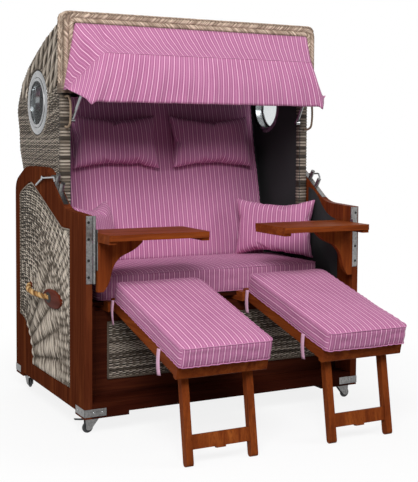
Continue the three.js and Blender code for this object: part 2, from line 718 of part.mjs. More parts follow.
// Carry handle: an oval plate and a bowed grip from the plate to the wicker behind it
function carryHandle() {
  const face = WICKER_INNER + WICKER_THICKNESS + GAP;
  const radius = HANDLE_PLATE_HEIGHT / 2;
  const plate = new THREE.Shape();
  plate.absarc(HANDLE_PLATE_REAR - radius, HANDLE_PLATE_Z, radius, -Math.PI / 2, Math.PI / 2);
  plate.absarc(HANDLE_PLATE_FRONT + radius, HANDLE_PLATE_Z, radius, Math.PI / 2, (3 * Math.PI) / 2);
  const start = face + HANDLE_BAR_RADIUS / 2;
  const front = new THREE.Vector3(start, HANDLE_BAR_FRONT, HANDLE_PLATE_Z);
  const rear = new THREE.Vector3(start, HANDLE_BAR_REAR, HANDLE_PLATE_Z + HANDLE_BAR_RISE);
  const belly = front.clone().lerp(rear, 1 / 2);
  belly.x += 2 * HANDLE_BOW;
  const grip = new THREE.QuadraticBezierCurve3(front, belly, rear);
  const whole = join(
    plateAcross(plate, face, face + HANDLE_PLATE_THICKNESS),
    tube(grip, HANDLE_BAR_RADIUS, HANDLE_BAR_STEPS, HANDLE_BAR_STEPS),
  );
  const wall = box(
    [CHEEK_INNER, face],
    [HANDLE_PLATE_FRONT - OVERRUN, HANDLE_BAR_REAR + 2 * OVERRUN],
    [HANDLE_PLATE_Z - HANDLE_PLATE_HEIGHT, HANDLE_PLATE_Z + HANDLE_PLATE_HEIGHT],
  );
  return cut(whole, wall);
}

// Recline rail on the slope of the cheek, drawn level and then laid on the slope
function slope() {
  const rise = CREST_TOP - SLOPE_FOOT;
  const run = CREST_FRONT - ARM_LENGTH;
  return { angle: Math.atan2(rise, run), length: Math.hypot(rise, run) };
}

function reclineRail() {
  const { angle, length } = slope();
  const middle = HALF_WIDTH - CHEEK_THICKNESS / 2;
  const start = ARM_ROUNDING;
  const end = length - CREST_ROUNDING;
  const strip = box(
    [middle - SLOPE_RAIL_WIDTH / 2, middle + SLOPE_RAIL_WIDTH / 2],
    [start - SLOPE_RAIL_INSET, end],
    [GAP, GAP + SLOPE_RAIL_THICKNESS],
  );
  const studs = STUD_SHARES.map((share) => {
    const y = start + share * (end - start);
    return rod([middle, y, GAP], [middle, y, GAP + STUD_LENGTH], STUD_RADIUS);
  });
  const rail = join(strip, ...studs).rotateX(angle).translate(0, ARM_LENGTH, SLOPE_FOOT);
  return cut(rail, plateAcross(cheekOutline(), CHEEK_INNER - OVERRUN, HALF_WIDTH + OVERRUN));
}

// Lock lever: a bent rod that rocks on a boss on the outside of the cheek
function lockLever() {
  const x = HALF_WIDTH + LEVER_STANDOFF;
  const front = LEVER_PIVOT_Y - LEVER_ARM_REACH;
  const top = LEVER_PIVOT_Z + LEVER_ARM_RISE;
  const route = [
    [x, LEVER_PIVOT_Y + LEVER_HANDLE_REACH, LEVER_PIVOT_Z - LEVER_HANDLE_DROP],
    [x, LEVER_PIVOT_Y, LEVER_PIVOT_Z],
    [x, front, top],
    [x, front - LEVER_HOOK_REACH, top - LEVER_HOOK_DROP],
  ];
  const runs = route.slice(1).map((point, i) => rod(route[i], point, LEVER_RADIUS, SIDES / 2));
  const joints = route.slice(1, -1).map((point) => (
    new THREE.SphereGeometry(LEVER_RADIUS, SIDES / 2, SIDES / 2).translate(...point)
  ));
  const boss = rod(
    [HALF_WIDTH + GAP, LEVER_PIVOT_Y, LEVER_PIVOT_Z],
    [x + LEVER_RADIUS, LEVER_PIVOT_Y, LEVER_PIVOT_Z],
    LEVER_BOSS_RADIUS,
  );
  return join(...runs, ...joints, boss);
}

// Casters, drawn about their swivel axis with the wheel trailing towards +X
function casterFork() {
  const cheekInner = WHEEL_WIDTH / 2 + FORK_CLEARANCE;
  const cheekOuter = cheekInner + FORK_SHEET;
  const top = BLOCK_BOTTOM - GAP;
  const crown = top - SWIVEL_HEIGHT - CROWN_SHEET;
  const side = outline([
    [-FORK_TOP_HALF, crown + CROWN_SHEET],
    [-FORK_TOP_HALF, crown],
    [CASTER_TRAIL - FORK_TOE_RADIUS, WHEEL_RADIUS - FORK_TOE_RADIUS, FORK_TOE_RADIUS],
    [CASTER_TRAIL + FORK_TOE_RADIUS, WHEEL_RADIUS - FORK_TOE_RADIUS, FORK_TOE_RADIUS],
    [FORK_TOP_HALF, crown],
    [FORK_TOP_HALF, crown + CROWN_SHEET],
  ]);
  const [near, far] = [-cheekOuter, cheekOuter].map((y) => [CASTER_TRAIL, y, WHEEL_RADIUS]);
  return join(
    rod([0, 0, crown], [0, 0, top], SWIVEL_RADIUS),
    box([-FORK_TOP_HALF, FORK_TOP_HALF], [-cheekOuter, cheekOuter], [crown, crown + CROWN_SHEET]),
    plateUpright(side, cheekInner, cheekOuter),
    plateUpright(side, -cheekOuter, -cheekInner),
    rod(near, far, AXLE_RADIUS, PIN_SIDES),
  );
}

function casterWheel() {
  const half = WHEEL_WIDTH / 2;
  const bore = AXLE_RADIUS + GAP;
  const shoulder = WHEEL_RADIUS - WHEEL_DISH;
  const wheel = turnedAcross([
    [bore, -half],
    [WHEEL_HUB_RADIUS, -half],
    [WHEEL_HUB_RADIUS, WHEEL_DISH - half],
    [shoulder, WHEEL_DISH - half],
    [WHEEL_RADIUS, 2 * WHEEL_DISH - half],
    [WHEEL_RADIUS, half - 2 * WHEEL_DISH],
    [shoulder, half - WHEEL_DISH],
    [WHEEL_HUB_RADIUS, half - WHEEL_DISH],
    [WHEEL_HUB_RADIUS, half],
    [bore, half],
  ], SIDES);
  return wheel.rotateZ(Math.PI / 2).translate(CASTER_TRAIL, 0, WHEEL_RADIUS);
}

function brakeLever() {
  const start = FORK_TOP_HALF + GAP;
  const top = BLOCK_BOTTOM - GAP - SWIVEL_HEIGHT;
  const lever = outline([
    [start, top],
    [start, top - BRAKE_SHEET],
    [start + BRAKE_REACH / 3, top - BRAKE_SHEET],
    [start + BRAKE_REACH, top],
    [start + BRAKE_REACH, top + BRAKE_SHEET],
    [start + BRAKE_REACH / 3, top],
  ]);
  return plateUpright(lever, -BRAKE_WIDTH / 2, BRAKE_WIDTH / 2);
}

function caster(geometry, y, turn) {
  return geometry.rotateZ(turn).translate(HALF_WIDTH - CASTER_INSET_X, y, 0);
}

// Table hinge: knuckle bounds from the bottom up; the fixed leaf has the odd ones
function knuckles(first) {
  const height = (HINGE_TOP - HINGE_BOTTOM) / KNUCKLE_COUNT;
  const bounds = [];
  for (let i = first; i < KNUCKLE_COUNT; i += 2) {
    const start = HINGE_BOTTOM + i * height;
    bounds.push([start + GAP / 2, start + height - GAP / 2]);
  }
  return bounds;
}

function hingeRod(low, high, radius, sides = SIDES) {
  return rod([HINGE_X, -HINGE_Y, low], [HINGE_X, -HINGE_Y, high], radius, sides);
}

function tableHinge() {
  const face = -GAP;
  const leaf = box(
    [HINGE_X + KNUCKLE_RADIUS + GAP, HINGE_LEAF_OUTER],
    [face - HINGE_SHEET, face],
    [HINGE_BOTTOM, HINGE_TOP],
  );
  const eyes = knuckles(0).flatMap(([low, high]) => [
    hingeRod(low, high, KNUCKLE_RADIUS),
    box([HINGE_X, HINGE_LEAF_OUTER], [face - HINGE_SHEET, face], [low, high]),
  ]);
  const pin = hingeRod(HINGE_BOTTOM + GAP, HINGE_TOP - GAP, PIN_RADIUS, PIN_SIDES);
  return join(leaf, ...eyes, pin);
}

function tableLeaf() {
  const inner = TABLE_OUTER + GAP;
  const [[low]] = knuckles(1);
  const [, high] = knuckles(1).at(-1);
  const leaf = box([inner, inner + HINGE_SHEET], [-BRACKET_THICKNESS, -KNUCKLE_RADIUS / 2], [low, high]);
  const eyes = knuckles(1).map(([start, end]) => hingeRod(start, end, KNUCKLE_RADIUS));
  const spaces = knuckles(0).map(([start, end]) => hingeRod(start - GAP, end + GAP, KNUCKLE_RADIUS + GAP));
  const bore = hingeRod(low - OVERRUN, high + OVERRUN, PIN_RADIUS + GAP, PIN_SIDES);
  return cut(join(cut(leaf, ...spaces), ...eyes), bore);
}

function tableTop() {
  const board = extruded(outline([
    [TABLE_INNER, -TABLE_FRONT, TABLE_CORNER],
    [TABLE_OUTER, -TABLE_FRONT, TABLE_CORNER],
    [TABLE_OUTER, TABLE_REAR, TABLE_CORNER],
    [TABLE_INNER, TABLE_REAR, TABLE_CORNER],
  ]), TABLE_THICKNESS).translate(0, 0, TABLE_UNDERSIDE);
  const battens = [TABLE_INNER, TABLE_OUTER - BATTEN_WIDTH].map((x) => box(
    [x, x + BATTEN_WIDTH],
    [TABLE_CORNER - TABLE_FRONT, TABLE_REAR - TABLE_CORNER],
    [TABLE_UNDERSIDE - BATTEN_HEIGHT, TABLE_UNDERSIDE + TABLE_THICKNESS / 2],
  ));
  return join(board, ...battens);
}

// The bracket's lower edge is an ogee from its nose to its foot
function tableBracket() {
  const top = TABLE_UNDERSIDE - GAP;
  const shape = new THREE.Shape();
  const place = ([reach, drop]) => (
    new THREE.Vector2(TABLE_OUTER - reach * BRACKET_REACH, top - drop * BRACKET_DROP)
  );
  shape.moveTo(TABLE_OUTER, top - BRACKET_DROP);
  shape.lineTo(TABLE_OUTER, top - BATTEN_HEIGHT);
  shape.lineTo(TABLE_OUTER - BATTEN_WIDTH - GAP, top - BATTEN_HEIGHT);
  shape.lineTo(TABLE_OUTER - BATTEN_WIDTH - GAP, top);
  shape.lineTo(TABLE_OUTER - BRACKET_REACH, top);
  shape.splineThru(BRACKET_SHARES.map(place));
  return plateUpright(shape, -BRACKET_THICKNESS, 0);
}

// Footrest guide: two ears with pivot pins, joined under the seat board by a slat
function footrestGuide() {
  const half = FOOTREST_WIDTH / 2 + GAP;
  const top = SEAT_BOARD_BOTTOM - GAP;
  const ears = [-1, 1].flatMap((side) => {
    const inner = FOOTREST_CENTRE + side * half;
    const outer = inner + side * GUIDE_THICKNESS;
    const span = [Math.min(inner, outer), Math.max(inner, outer)];
    const pin = [inner - side * FOOTREST_PIN_LENGTH, outer];
    return [
      box(span, [GUIDE_EAR_FRONT, GUIDE_EAR_REAR], [PANEL_TOP + GAP, FOOTREST_PIVOT_Z + GUIDE_EAR_RISE]),
      box(span, [GUIDE_EAR_FRONT, GUIDE_REAR], [PANEL_TOP + GAP, top]),
      rod(...pin.map((x) => [x, FOOTREST_PIVOT_Y, FOOTREST_PIVOT_Z]), FOOTREST_PIN_RADIUS, PIN_SIDES),
    ];
  });
  const slat = box(
    [FOOTREST_CENTRE - half - GUIDE_THICKNESS, FOOTREST_CENTRE + half + GUIDE_THICKNESS],
    [GUIDE_REAR - GUIDE_SLAT_DEPTH, GUIDE_REAR],
    [PANEL_TOP + GAP, top],
  );
  return join(...ears, slat);
}

// Lays a piece drawn level about the footrest's pivot on the incline
function inclined(geometry) {
  return geometry.rotateX(INCLINE).translate(FOOTREST_CENTRE, FOOTREST_PIVOT_Y, FOOTREST_PIVOT_Z);
}

// Place of the leg pivot, drawn level about the footrest's pivot
function legPivot() {
  return new THREE.Vector2(LEG_SETBACK - FOOTREST_FRAME_REACH, -LEG_DROP);
}

function footrestFrame() {
  const half = FOOTREST_WIDTH / 2;
  const inner = half - FOOTREST_RAIL_THICKNESS;
  const top = FOOTREST_RAIL_HEIGHT / 2;
  const front = -FOOTREST_FRAME_REACH;
  const rails = [[-half, -inner], [inner, half]].map((span) => (
    box(span, [front, FOOTREST_FRAME_TAIL], [-top, top])
  ));
  const pitch = (FOOTREST_FRAME_REACH - FOOTREST_SLAT_WIDTH) / (FOOTREST_SLATS - 1);
  const slats = Array.from({ length: FOOTREST_SLATS }, (_, i) => {
    const start = front + i * pitch;
    return box([-half, half], [start, start + FOOTREST_SLAT_WIDTH], [top - FOOTREST_SLAT_THICKNESS, top]);
  });
  const bar = plateAcross(outline([
    [front - FOOTREST_BAR_DEPTH / 2, top, FOOTREST_BAR_ROUNDING],
    [front - FOOTREST_BAR_DEPTH / 2, top - FOOTREST_BAR_HEIGHT, FOOTREST_BAR_ROUNDING / 2],
    [front + FOOTREST_BAR_DEPTH / 2, top - FOOTREST_BAR_HEIGHT, FOOTREST_BAR_ROUNDING / 2],
    [front + FOOTREST_BAR_DEPTH / 2, top],
  ]), -half, half);
  const holes = [new THREE.Vector2(), legPivot()].map(({ x, y }) => (
    rod([-half - OVERRUN, x, y], [half + OVERRUN, x, y], FOOTREST_PIN_RADIUS + GAP, PIN_SIDES)
  ));
  return inclined(cut(join(...rails, ...slats, bar), ...holes));
}

function footrestCushion() {
  const cushion = boxCushion(
    FOOTREST_WIDTH + 2 * FOOTREST_CUSHION_OVERHANG,
    FOOTREST_CUSHION_LENGTH,
    FOOTREST_CUSHION_THICKNESS,
    FOOTREST_CUSHION_CROWN,
  );
  const lift = FOOTREST_RAIL_HEIGHT / 2 + GAP;
  return inclined(cushion.translate(0, -FOOTREST_CUSHION_TAIL - FOOTREST_CUSHION_LENGTH / 2, lift));
}

// Leg frame: two slanting legs with rounded ends, a rung with its stub, and the pivot pins
function footrestLegs() {
  const pivot = legPivot().rotateAround(new THREE.Vector2(), INCLINE);
  pivot.add(new THREE.Vector2(FOOTREST_PIVOT_Y, FOOTREST_PIVOT_Z));
  const slant = Math.atan2(LEG_SPLAY, pivot.y);
  const length = pivot.y / Math.cos(slant);
  const half = LEG_DEPTH / 2;
  const side = new THREE.Shape();
  side.absarc(0, 0, half, 0, Math.PI);
  side.lineTo(-half, half - length);
  side.quadraticCurveTo(-half, -length, 0, -length);
  side.quadraticCurveTo(half, -length, half, half - length);
  const legs = [-LEG_SPREAD, LEG_SPREAD].map((x) => plateAcross(side, x - LEG_WIDTH / 2, x + LEG_WIDTH / 2));
  const rung = box(
    [-LEG_SPREAD, LEG_SPREAD],
    [-RUNG_THICKNESS / 2, RUNG_THICKNESS / 2],
    [RUNG_BOTTOM - length, RUNG_BOTTOM + RUNG_HEIGHT - length],
  );
  const stub = box(
    [-RUNG_STUB_WIDTH / 2, RUNG_STUB_WIDTH / 2],
    [-RUNG_THICKNESS / 2, RUNG_THICKNESS / 2],
    [RUNG_BOTTOM - RUNG_STUB_DROP - length, RUNG_BOTTOM + RUNG_HEIGHT / 2 - length],
  );
  const reach = FOOTREST_WIDTH / 2 - FOOTREST_RAIL_THICKNESS + FOOTREST_PIN_LENGTH;
  const pins = [-1, 1].map((way) => (
    rod([way * LEG_SPREAD, 0, 0], [way * reach, 0, 0], FOOTREST_PIN_RADIUS, PIN_SIDES)
  ));
  const frame = join(...legs, rung, stub, ...pins).rotateX(-slant);
  const standing = frame.translate(FOOTREST_CENTRE, pivot.x, pivot.y);
  const floor = box(
    [FOOTREST_CENTRE - FOOTREST_WIDTH, FOOTREST_CENTRE + FOOTREST_WIDTH],
    [pivot.x - FOOTREST_WIDTH, 0],
    [-OVERRUN, 0],
  );
  return cut(standing, floor);
}

// Hood profile from its foot up the back and forward to the rim, in (y, z)
function hoodProfile() {
  const height = HOOD_TOP - HOOD_FOOT;
  return HOOD_PROFILE_SHARES.map(([depth, rise]) => (
    new THREE.Vector2(HOOD_FRONT + depth * HOOD_DEPTH, HOOD_FOOT + rise * height)
  ));
}

// The room that the rim and all in front of it take from the hood's panels
function rimRoom() {
  const rimRear = HOOD_FRONT + RIM_DEPTH + GAP;
  return box([-HALF_WIDTH, HALF_WIDTH], [0, rimRear], [RIM_FOOT - GAP, HOOD_TOP + OVERRUN]);
}

function hoodSide() {
  const profile = hoodProfile();
  const panel = new THREE.Shape([
    new THREE.Vector2(POST_FRONT, SEAT_BOTTOM + HOOD_FRONT_FOOT_RISE),
    new THREE.Vector2(HOOD_PIVOT_Y - HOOD_KEEL_HALF, HOOD_KEEL_Z),
    new THREE.Vector2(HOOD_PIVOT_Y + HOOD_KEEL_HALF, HOOD_KEEL_Z),
    ...profile,
    new THREE.Vector2(POST_FRONT, profile.at(-1).y),
  ]);
  const boss = rod(
    [HOOD_SIDE_INNER + GAP, HOOD_PIVOT_Y, HOOD_PIVOT_Z],
    [WICKER_INNER - GAP, HOOD_PIVOT_Y, HOOD_PIVOT_Z],
    HOOD_BOSS_RADIUS,
  );
  const porthole = rod(
    [HOOD_SIDE_INNER - OVERRUN, PORTHOLE_Y, PORTHOLE_Z],
    [HOOD_SIDE_OUTER + OVERRUN, PORTHOLE_Y, PORTHOLE_Z],
    (RING_SLEEVE + GAP) / Math.cos(Math.PI / ROUND_STEPS),
    ROUND_STEPS,
  );
  return cut(join(plateAcross(panel, HOOD_SIDE_INNER, HOOD_SIDE_OUTER), boss), porthole, rimRoom());
}

function hoodBack() {
  const half = HOOD_SIDE_INNER - GAP;
  return cut(plateAcross(band(hoodProfile(), HOOD_SHELL_THICKNESS), -half, half), rimRoom());
}

// Rim: a soft-edged arch around the front of the hood
function hoodRim() {
  const soft = RIM_SOFTENING;
  const outer = RIM_HALF_WIDTH - soft;
  const inner = HOOD_SIDE_INNER + soft;
  const foot = RIM_FOOT + soft;
  const top = HOOD_TOP - soft;
  const underside = HOOD_TOP - RIM_TOP_HEIGHT + soft;
  const arch = outline([
    [-outer, foot],
    [-inner, foot],
    [-inner, underside, RIM_ROUNDING / 2],
    [inner, underside, RIM_ROUNDING / 2],
    [inner, foot],
    [outer, foot],
    [outer, top, RIM_ROUNDING],
    [-outer, top, RIM_ROUNDING],
  ]);
  const braid = new THREE.ExtrudeGeometry(arch, {
    depth: RIM_DEPTH - 2 * soft,
    bevelSize: soft,
    bevelThickness: soft,
    bevelSegments: RIM_SOFT_STEPS,
    curveSegments: CURVE_STEPS,
  });
  return upright(braid, HOOD_FRONT + RIM_DEPTH - soft);
}

// Lays a piece drawn upright, with its seat edge at the origin, on the leaning back
function leaned(geometry) {
  return geometry.rotateX(-LEAN).translate(0, BACK_FRONT, BACK_BOTTOM);
}

function backBoard() {
  const half = HOOD_SIDE_INNER - GAP;
  const front = BACK_THICKNESS + GAP;
  const rear = front + BACK_BOARD_THICKNESS;
  const board = leaned(box([-half, half], [front, rear], [BACK_BOARD_TAIL, BACK_LENGTH]));
  const shell = band(hoodProfile(), HOOD_SHELL_THICKNESS + GAP);
  return cut(board, plateAcross(shell, -half - OVERRUN, half + OVERRUN));
}

function backCushion() {
  const cushion = boxCushion(2 * BACK_HALF_WIDTH, BACK_LENGTH, BACK_THICKNESS, BACK_CROWN);
  return leaned(cushion.rotateX(Math.PI / 2).translate(0, BACK_THICKNESS, BACK_LENGTH / 2));
}

function neckPillow() {
  const u = NECK_PILLOW_X / BACK_HALF_WIDTH;
  const v = (2 * NECK_PILLOW_LIFT) / BACK_LENGTH - 1;
  const front = BACK_CROWN * (1 - crownShare(u, v)) - GAP - NECK_PILLOW_THICKNESS / 2;
  const piece = pillow(NECK_PILLOW_WIDTH, NECK_PILLOW_HEIGHT, NECK_PILLOW_THICKNESS);
  return leaned(piece.translate(NECK_PILLOW_X, front, NECK_PILLOW_LIFT));
}

function seatCushion() {
  const cushion = boxCushion(2 * SEAT_HALF_WIDTH, SEAT_REAR - PANEL_REAR, SEAT_THICKNESS, SEAT_CROWN);
  return cushion.translate(0, (PANEL_REAR + SEAT_REAR) / 2, SEAT_BOTTOM);
}

// Height of the seat cushion's crowned top above the floor
function seatSurface(x, y) {
  const middle = (PANEL_REAR + SEAT_REAR) / 2;
  const share = crownShare(x / SEAT_HALF_WIDTH, (y - middle) / (SEAT_REAR - middle));
  return SEAT_TOP - SEAT_CROWN * (1 - share);
}

// Scatter pillow: turned into the corner of the seat, and let down until it rests on the cushion
function scatterPillow() {
  const piece = pillow(SCATTER_WIDTH, SCATTER_HEIGHT, SCATTER_THICKNESS);
  piece.rotateX(-THREE.MathUtils.degToRad(SCATTER_LEAN)).rotateZ(-THREE.MathUtils.degToRad(SCATTER_TURN));
  piece.computeBoundingBox();
  const { max } = piece.boundingBox;
  piece.translate(CHEEK_INNER - SCATTER_SIDE_GAP - max.x, SEAT_REAR - SCATTER_REAR_GAP - max.y, 0);
  const place = piece.attributes.position;
  const lifts = Array.from({ length: place.count }, (_, i) => (
    seatSurface(place.getX(i), place.getY(i)) - place.getZ(i)
  ));
  return piece.translate(0, 0, Math.max(...lifts) + GAP - SCATTER_SETTLE);
}

// Porthole: a flanged ring with a hinge lug, and a pane that plugs its bore
function porthole(geometry) {
  return geometry.rotateX(THREE.MathUtils.degToRad(PANE_HINGE_TILT))
    .translate(HOOD_SIDE_OUTER + GAP, PORTHOLE_Y, PORTHOLE_Z);
}

function portholeRing() {
  const depth = HOOD_SIDE_INNER - HOOD_SIDE_OUTER;
  const ring = turnedAcross([
    [RING_BORE, depth],
    [RING_SLEEVE, depth],
    [RING_SLEEVE, 0],
    [RING_RADIUS, 0],
    [RING_RADIUS, RING_FLANGE / 2],
    [RING_RADIUS - RING_FLANGE / 2, RING_FLANGE],
    [RING_BORE, RING_FLANGE],
  ], ROUND_STEPS);
  const lug = box(
    [RING_FLANGE / 2, RING_FLANGE + PANE_LUG_RISE],
    [PANE_HINGE_RADIUS + GAP, PANE_HINGE_RADIUS + GAP + PANE_LUG_SIZE],
    [-PANE_LUG_SIZE, PANE_LUG_SIZE],
  );
  return porthole(join(ring, lug));
}

function portholePane() {
  const face = RING_FLANGE + GAP;
  const pane = turnedAcross([
    [0, face - PANE_PLUG],
    [RING_BORE - PANE_CLEARANCE, face - PANE_PLUG],
    [RING_BORE - PANE_CLEARANCE, face],
    [PANE_BEZEL, face],
    [PANE_BEZEL, face + PANE_SHEET],
    [0, face + PANE_SHEET],
  ], ROUND_STEPS);
  return porthole(pane);
}

// A point of the awning, given inward from the hood's wall, forward of the rim and down from the hood's top
function hung([inward, forward, drop]) {
  return new THREE.Vector3(HOOD_SIDE_INNER - inward, HOOD_FRONT - forward, HOOD_TOP - drop);
}

// Awning bow: two arms from the pivots on the hood's walls to a cross bar at the crease
function awningBow() {
  const pivot = hung([BOW_WALL_GAP, -BOW_PIVOT_SETBACK, BOW_PIVOT_DROP]);
  const bend = hung(AWNING_CREASE);
  const away = new THREE.Vector2(BOW_RADIUS + BOW_CREASE_GAP, 0);
  away.rotateAround(new THREE.Vector2(), -THREE.MathUtils.degToRad(BOW_BAR_DIP));
  const corner = new THREE.Vector3(HOOD_SIDE_INNER - BOW_BAR_INSET, bend.y + away.x, bend.z + away.y);
  const half = [pivot, hung(BOW_ELBOW), hung(BOW_SHOULDER), corner];
  const others = half.map(({ x, y, z }) => new THREE.Vector3(-x, y, z)).reverse();
  const points = [...half, ...others];
  const bar = tube(roundedPath(points, BOW_ROUNDING), BOW_RADIUS, 3 * SIDES, SIDES / 2);
  const pivots = [-1, 1].map((side) => rod(
    [side * (pivot.x - BOW_RADIUS), pivot.y, pivot.z],
    [side * (HOOD_SIDE_INNER - GAP), pivot.y, pivot.z],
    BOW_RADIUS + BOW_RADIUS / 2,
  ));
  return join(bar, ...pivots);
}

// Awning: a roof panel from the rim to the crease, a front valance and a gusset at each end
function awning() {
  const lines = [
    { corner: hung(AWNING_ATTACH), tip: hung(AWNING_RETURN), hang: 0 },
    { corner: hung(AWNING_CREASE), tip: hung(AWNING_FOLD), hang: 0 },
    { corner: hung(AWNING_HEM), tip: hung(AWNING_TIP), hang: 1 },
  ];
  const stations = Array.from({ length: AWNING_COLUMNS + 1 }, (_, i) => (2 * i) / AWNING_COLUMNS - 1);
  const rowOf = ({ tip, corner, hang }) => stations.map((station) => {
    const reach = Math.abs(station);
    const inner = 1 - AWNING_GUSSET_SHARE;
    const side = Math.sign(station);
    if (reach <= inner) {
      const wave = hang * AWNING_WAVE_HEIGHT * Math.cos(AWNING_WAVES * Math.PI * station);
      return new THREE.Vector3((station / inner) * corner.x, corner.y - wave, corner.z);
    }
    const share = (reach - inner) / AWNING_GUSSET_SHARE;
    const point = corner.clone().lerp(tip, share);
    point.x *= side;
    return point;
  });
  const [attach, crease, hem] = lines.map(rowOf);
  const between = (from, to, share) => from.map((point, i) => point.clone().lerp(to[i], share));
  const rows = [attach, between(attach, crease, 1 / 2), crease, between(crease, hem, 1 / 3),
    between(crease, hem, 2 / 3), hem];
  return sheet(rows, AWNING_SHEET);
}

function ropeLoop() {
  const x = HOOD_SIDE_OUTER - ROPE_INSET;
  const face = POST_FRONT - GAP;
  const points = ROPE_BELLY_SHARES.map(([out, up]) => (
    new THREE.Vector3(x, face - out * ROPE_BULGE, ROPE_BOTTOM + up * ROPE_LENGTH)
  ));
  const loop = tube(new THREE.CatmullRomCurve3(points), ROPE_RADIUS, SIDES, SIDES / 2);
  const post = box(
    [HOOD_SIDE_INNER, HOOD_SIDE_OUTER],
    [face, POST_FRONT + OVERRUN],
    [ROPE_BOTTOM - OVERRUN, ROPE_TOP + OVERRUN],
  );
  return cut(loop, post);
}

// Assembly
const chair = new THREE.Group();

function group(parent) {
  const inner = new THREE.Group();
  parent.add(inner);
  return inner;
}

function add(parent, name, geometry, look) {
  const bare = welded(geometry);
  bare.computeVertexNormals();
  const mesh = new THREE.Mesh(bare, new THREE.MeshStandardMaterial(look));
  mesh.name = name;
  parent.add(mesh);
}

function addPair(parent, name, geometry, look) {
  add(parent, `${name}_right`, geometry, look);
  add(parent, `${name}_left`, mirrored(geometry), look);
}

const lowerBox = group(chair);
addPair(lowerBox, 'cheek', cheek(), wood);
addPair(lowerBox, 'cheek_wicker', cheekWicker(), weave);
add(lowerBox, 'front_rail', frontRail(), wood);
add(lowerBox, 'rear_panel', rearPanel(), wood);
add(lowerBox, 'seat_board', seatBoard(), wood);
add(lowerBox, 'front_panel_frame', frontPanelFrame(), wood);
add(lowerBox, 'front_panel_wicker', frontPanelWicker(), weave);
addPair(lowerBox, 'footrest_guide', footrestGuide(), wood);
addPair(lowerBox, 'recline_rail', reclineRail(), steel);
addPair(lowerBox, 'carry_handle', carryHandle(), rope);
addPair(lowerBox, 'table_hinge', tableHinge(), steel);
add(lowerBox, 'seat_cushion', seatCushion(), cloth);
addPair(lowerBox, 'scatter_pillow', scatterPillow(), cloth);
addPair(lowerBox, 'lock_lever', lockLever(), chrome);

const casters = group(chair);
const corners = [
  { place: 'front', y: CASTER_INSET_Y, turn: 0 },
  { place: 'rear', y: BOX_DEPTH - CASTER_INSET_Y, turn: -Math.PI / 2 },
];
for (const { place, y, turn } of corners) {
  addPair(casters, `caster_fork_${place}`, caster(casterFork(), y, turn), steel);
  addPair(casters, `caster_wheel_${place}`, caster(casterWheel(), y, turn), rubber);
}
addPair(casters, 'brake_lever', caster(brakeLever(), CASTER_INSET_Y, 0), rubber);

const footrests = group(chair);
addPair(footrests, 'footrest_frame', footrestFrame(), wood);
addPair(footrests, 'footrest_legs', footrestLegs(), wood);
addPair(footrests, 'footrest_cushion', footrestCushion(), cloth);

const tables = group(chair);
addPair(tables, 'table_top', tableTop(), wood);
addPair(tables, 'table_bracket', tableBracket(), wood);
addPair(tables, 'table_leaf', tableLeaf(), steel);

const hood = group(chair);
addPair(hood, 'hood_side', hoodSide(), wicker);
add(hood, 'hood_back', hoodBack(), wicker);
add(hood, 'hood_rim', hoodRim(), wicker);
add(hood, 'back_board', backBoard(), lining);
add(hood, 'back_cushion', backCushion(), cloth);
addPair(hood, 'neck_pillow', neckPillow(), cloth);
addPair(hood, 'porthole_ring', portholeRing(), chrome);
addPair(hood, 'porthole_pane', portholePane(), glass);
add(hood, 'awning_bow', awningBow(), steel);
add(hood, 'awning', awning(), cloth);
addPair(hood, 'rope_loop', ropeLoop(), rope);

// The origin is on the floor, under the middle of the whole chair
const extent = new THREE.Box3().setFromObject(chair);
chair.position.y = -(extent.min.y + extent.max.y) / 2;

export default chair;
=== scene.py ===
"""Looks of the hooded beach chair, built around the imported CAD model. Lengths are in metres."""

import math

import bpy
import numpy as np
from mathutils import Matrix, Vector


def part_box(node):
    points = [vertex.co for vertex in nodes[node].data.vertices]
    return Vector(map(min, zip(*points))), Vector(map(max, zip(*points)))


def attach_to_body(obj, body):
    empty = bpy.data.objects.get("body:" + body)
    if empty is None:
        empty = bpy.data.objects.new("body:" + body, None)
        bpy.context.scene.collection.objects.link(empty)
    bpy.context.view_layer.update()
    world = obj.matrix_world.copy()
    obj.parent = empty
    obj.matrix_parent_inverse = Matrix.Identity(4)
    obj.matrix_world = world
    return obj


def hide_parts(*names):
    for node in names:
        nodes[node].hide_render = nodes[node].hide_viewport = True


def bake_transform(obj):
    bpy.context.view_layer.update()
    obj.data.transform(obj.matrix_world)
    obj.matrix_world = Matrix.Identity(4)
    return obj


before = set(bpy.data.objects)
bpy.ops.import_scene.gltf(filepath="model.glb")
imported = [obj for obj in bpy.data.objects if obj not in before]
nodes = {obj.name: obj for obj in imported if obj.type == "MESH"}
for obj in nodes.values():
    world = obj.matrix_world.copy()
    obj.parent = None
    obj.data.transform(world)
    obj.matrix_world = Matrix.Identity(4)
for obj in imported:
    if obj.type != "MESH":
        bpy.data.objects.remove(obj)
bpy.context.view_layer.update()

chance = np.random.default_rng(7)
TURN = 2 * math.pi

# Y of the box's front plane; lengths along Y are given from it
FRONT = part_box("cheek_right")[0].y
SIDES = {"right": 1, "left": -1}


def at(x, y, z):
    """A point given from the box's front plane, as a point of the row frame."""
    return Vector((x, FRONT + y, z))


def moved(points):
    """An array of such points, as an array of points of the row frame."""
    return np.asarray(points, float) + np.array([0, FRONT, 0])


# Camera: the photograph's place, direction and lens, for a picture of 418 by 482
CAMERA_PLACE = (-1.8852, -3.4228, 1.1101)
CAMERA_YAW, CAMERA_PITCH, CAMERA_ROLL = 0.481, 0.0571, 0.0058
CAMERA_LENS, CAMERA_SHIFT_Y = 74.62, -0.0996


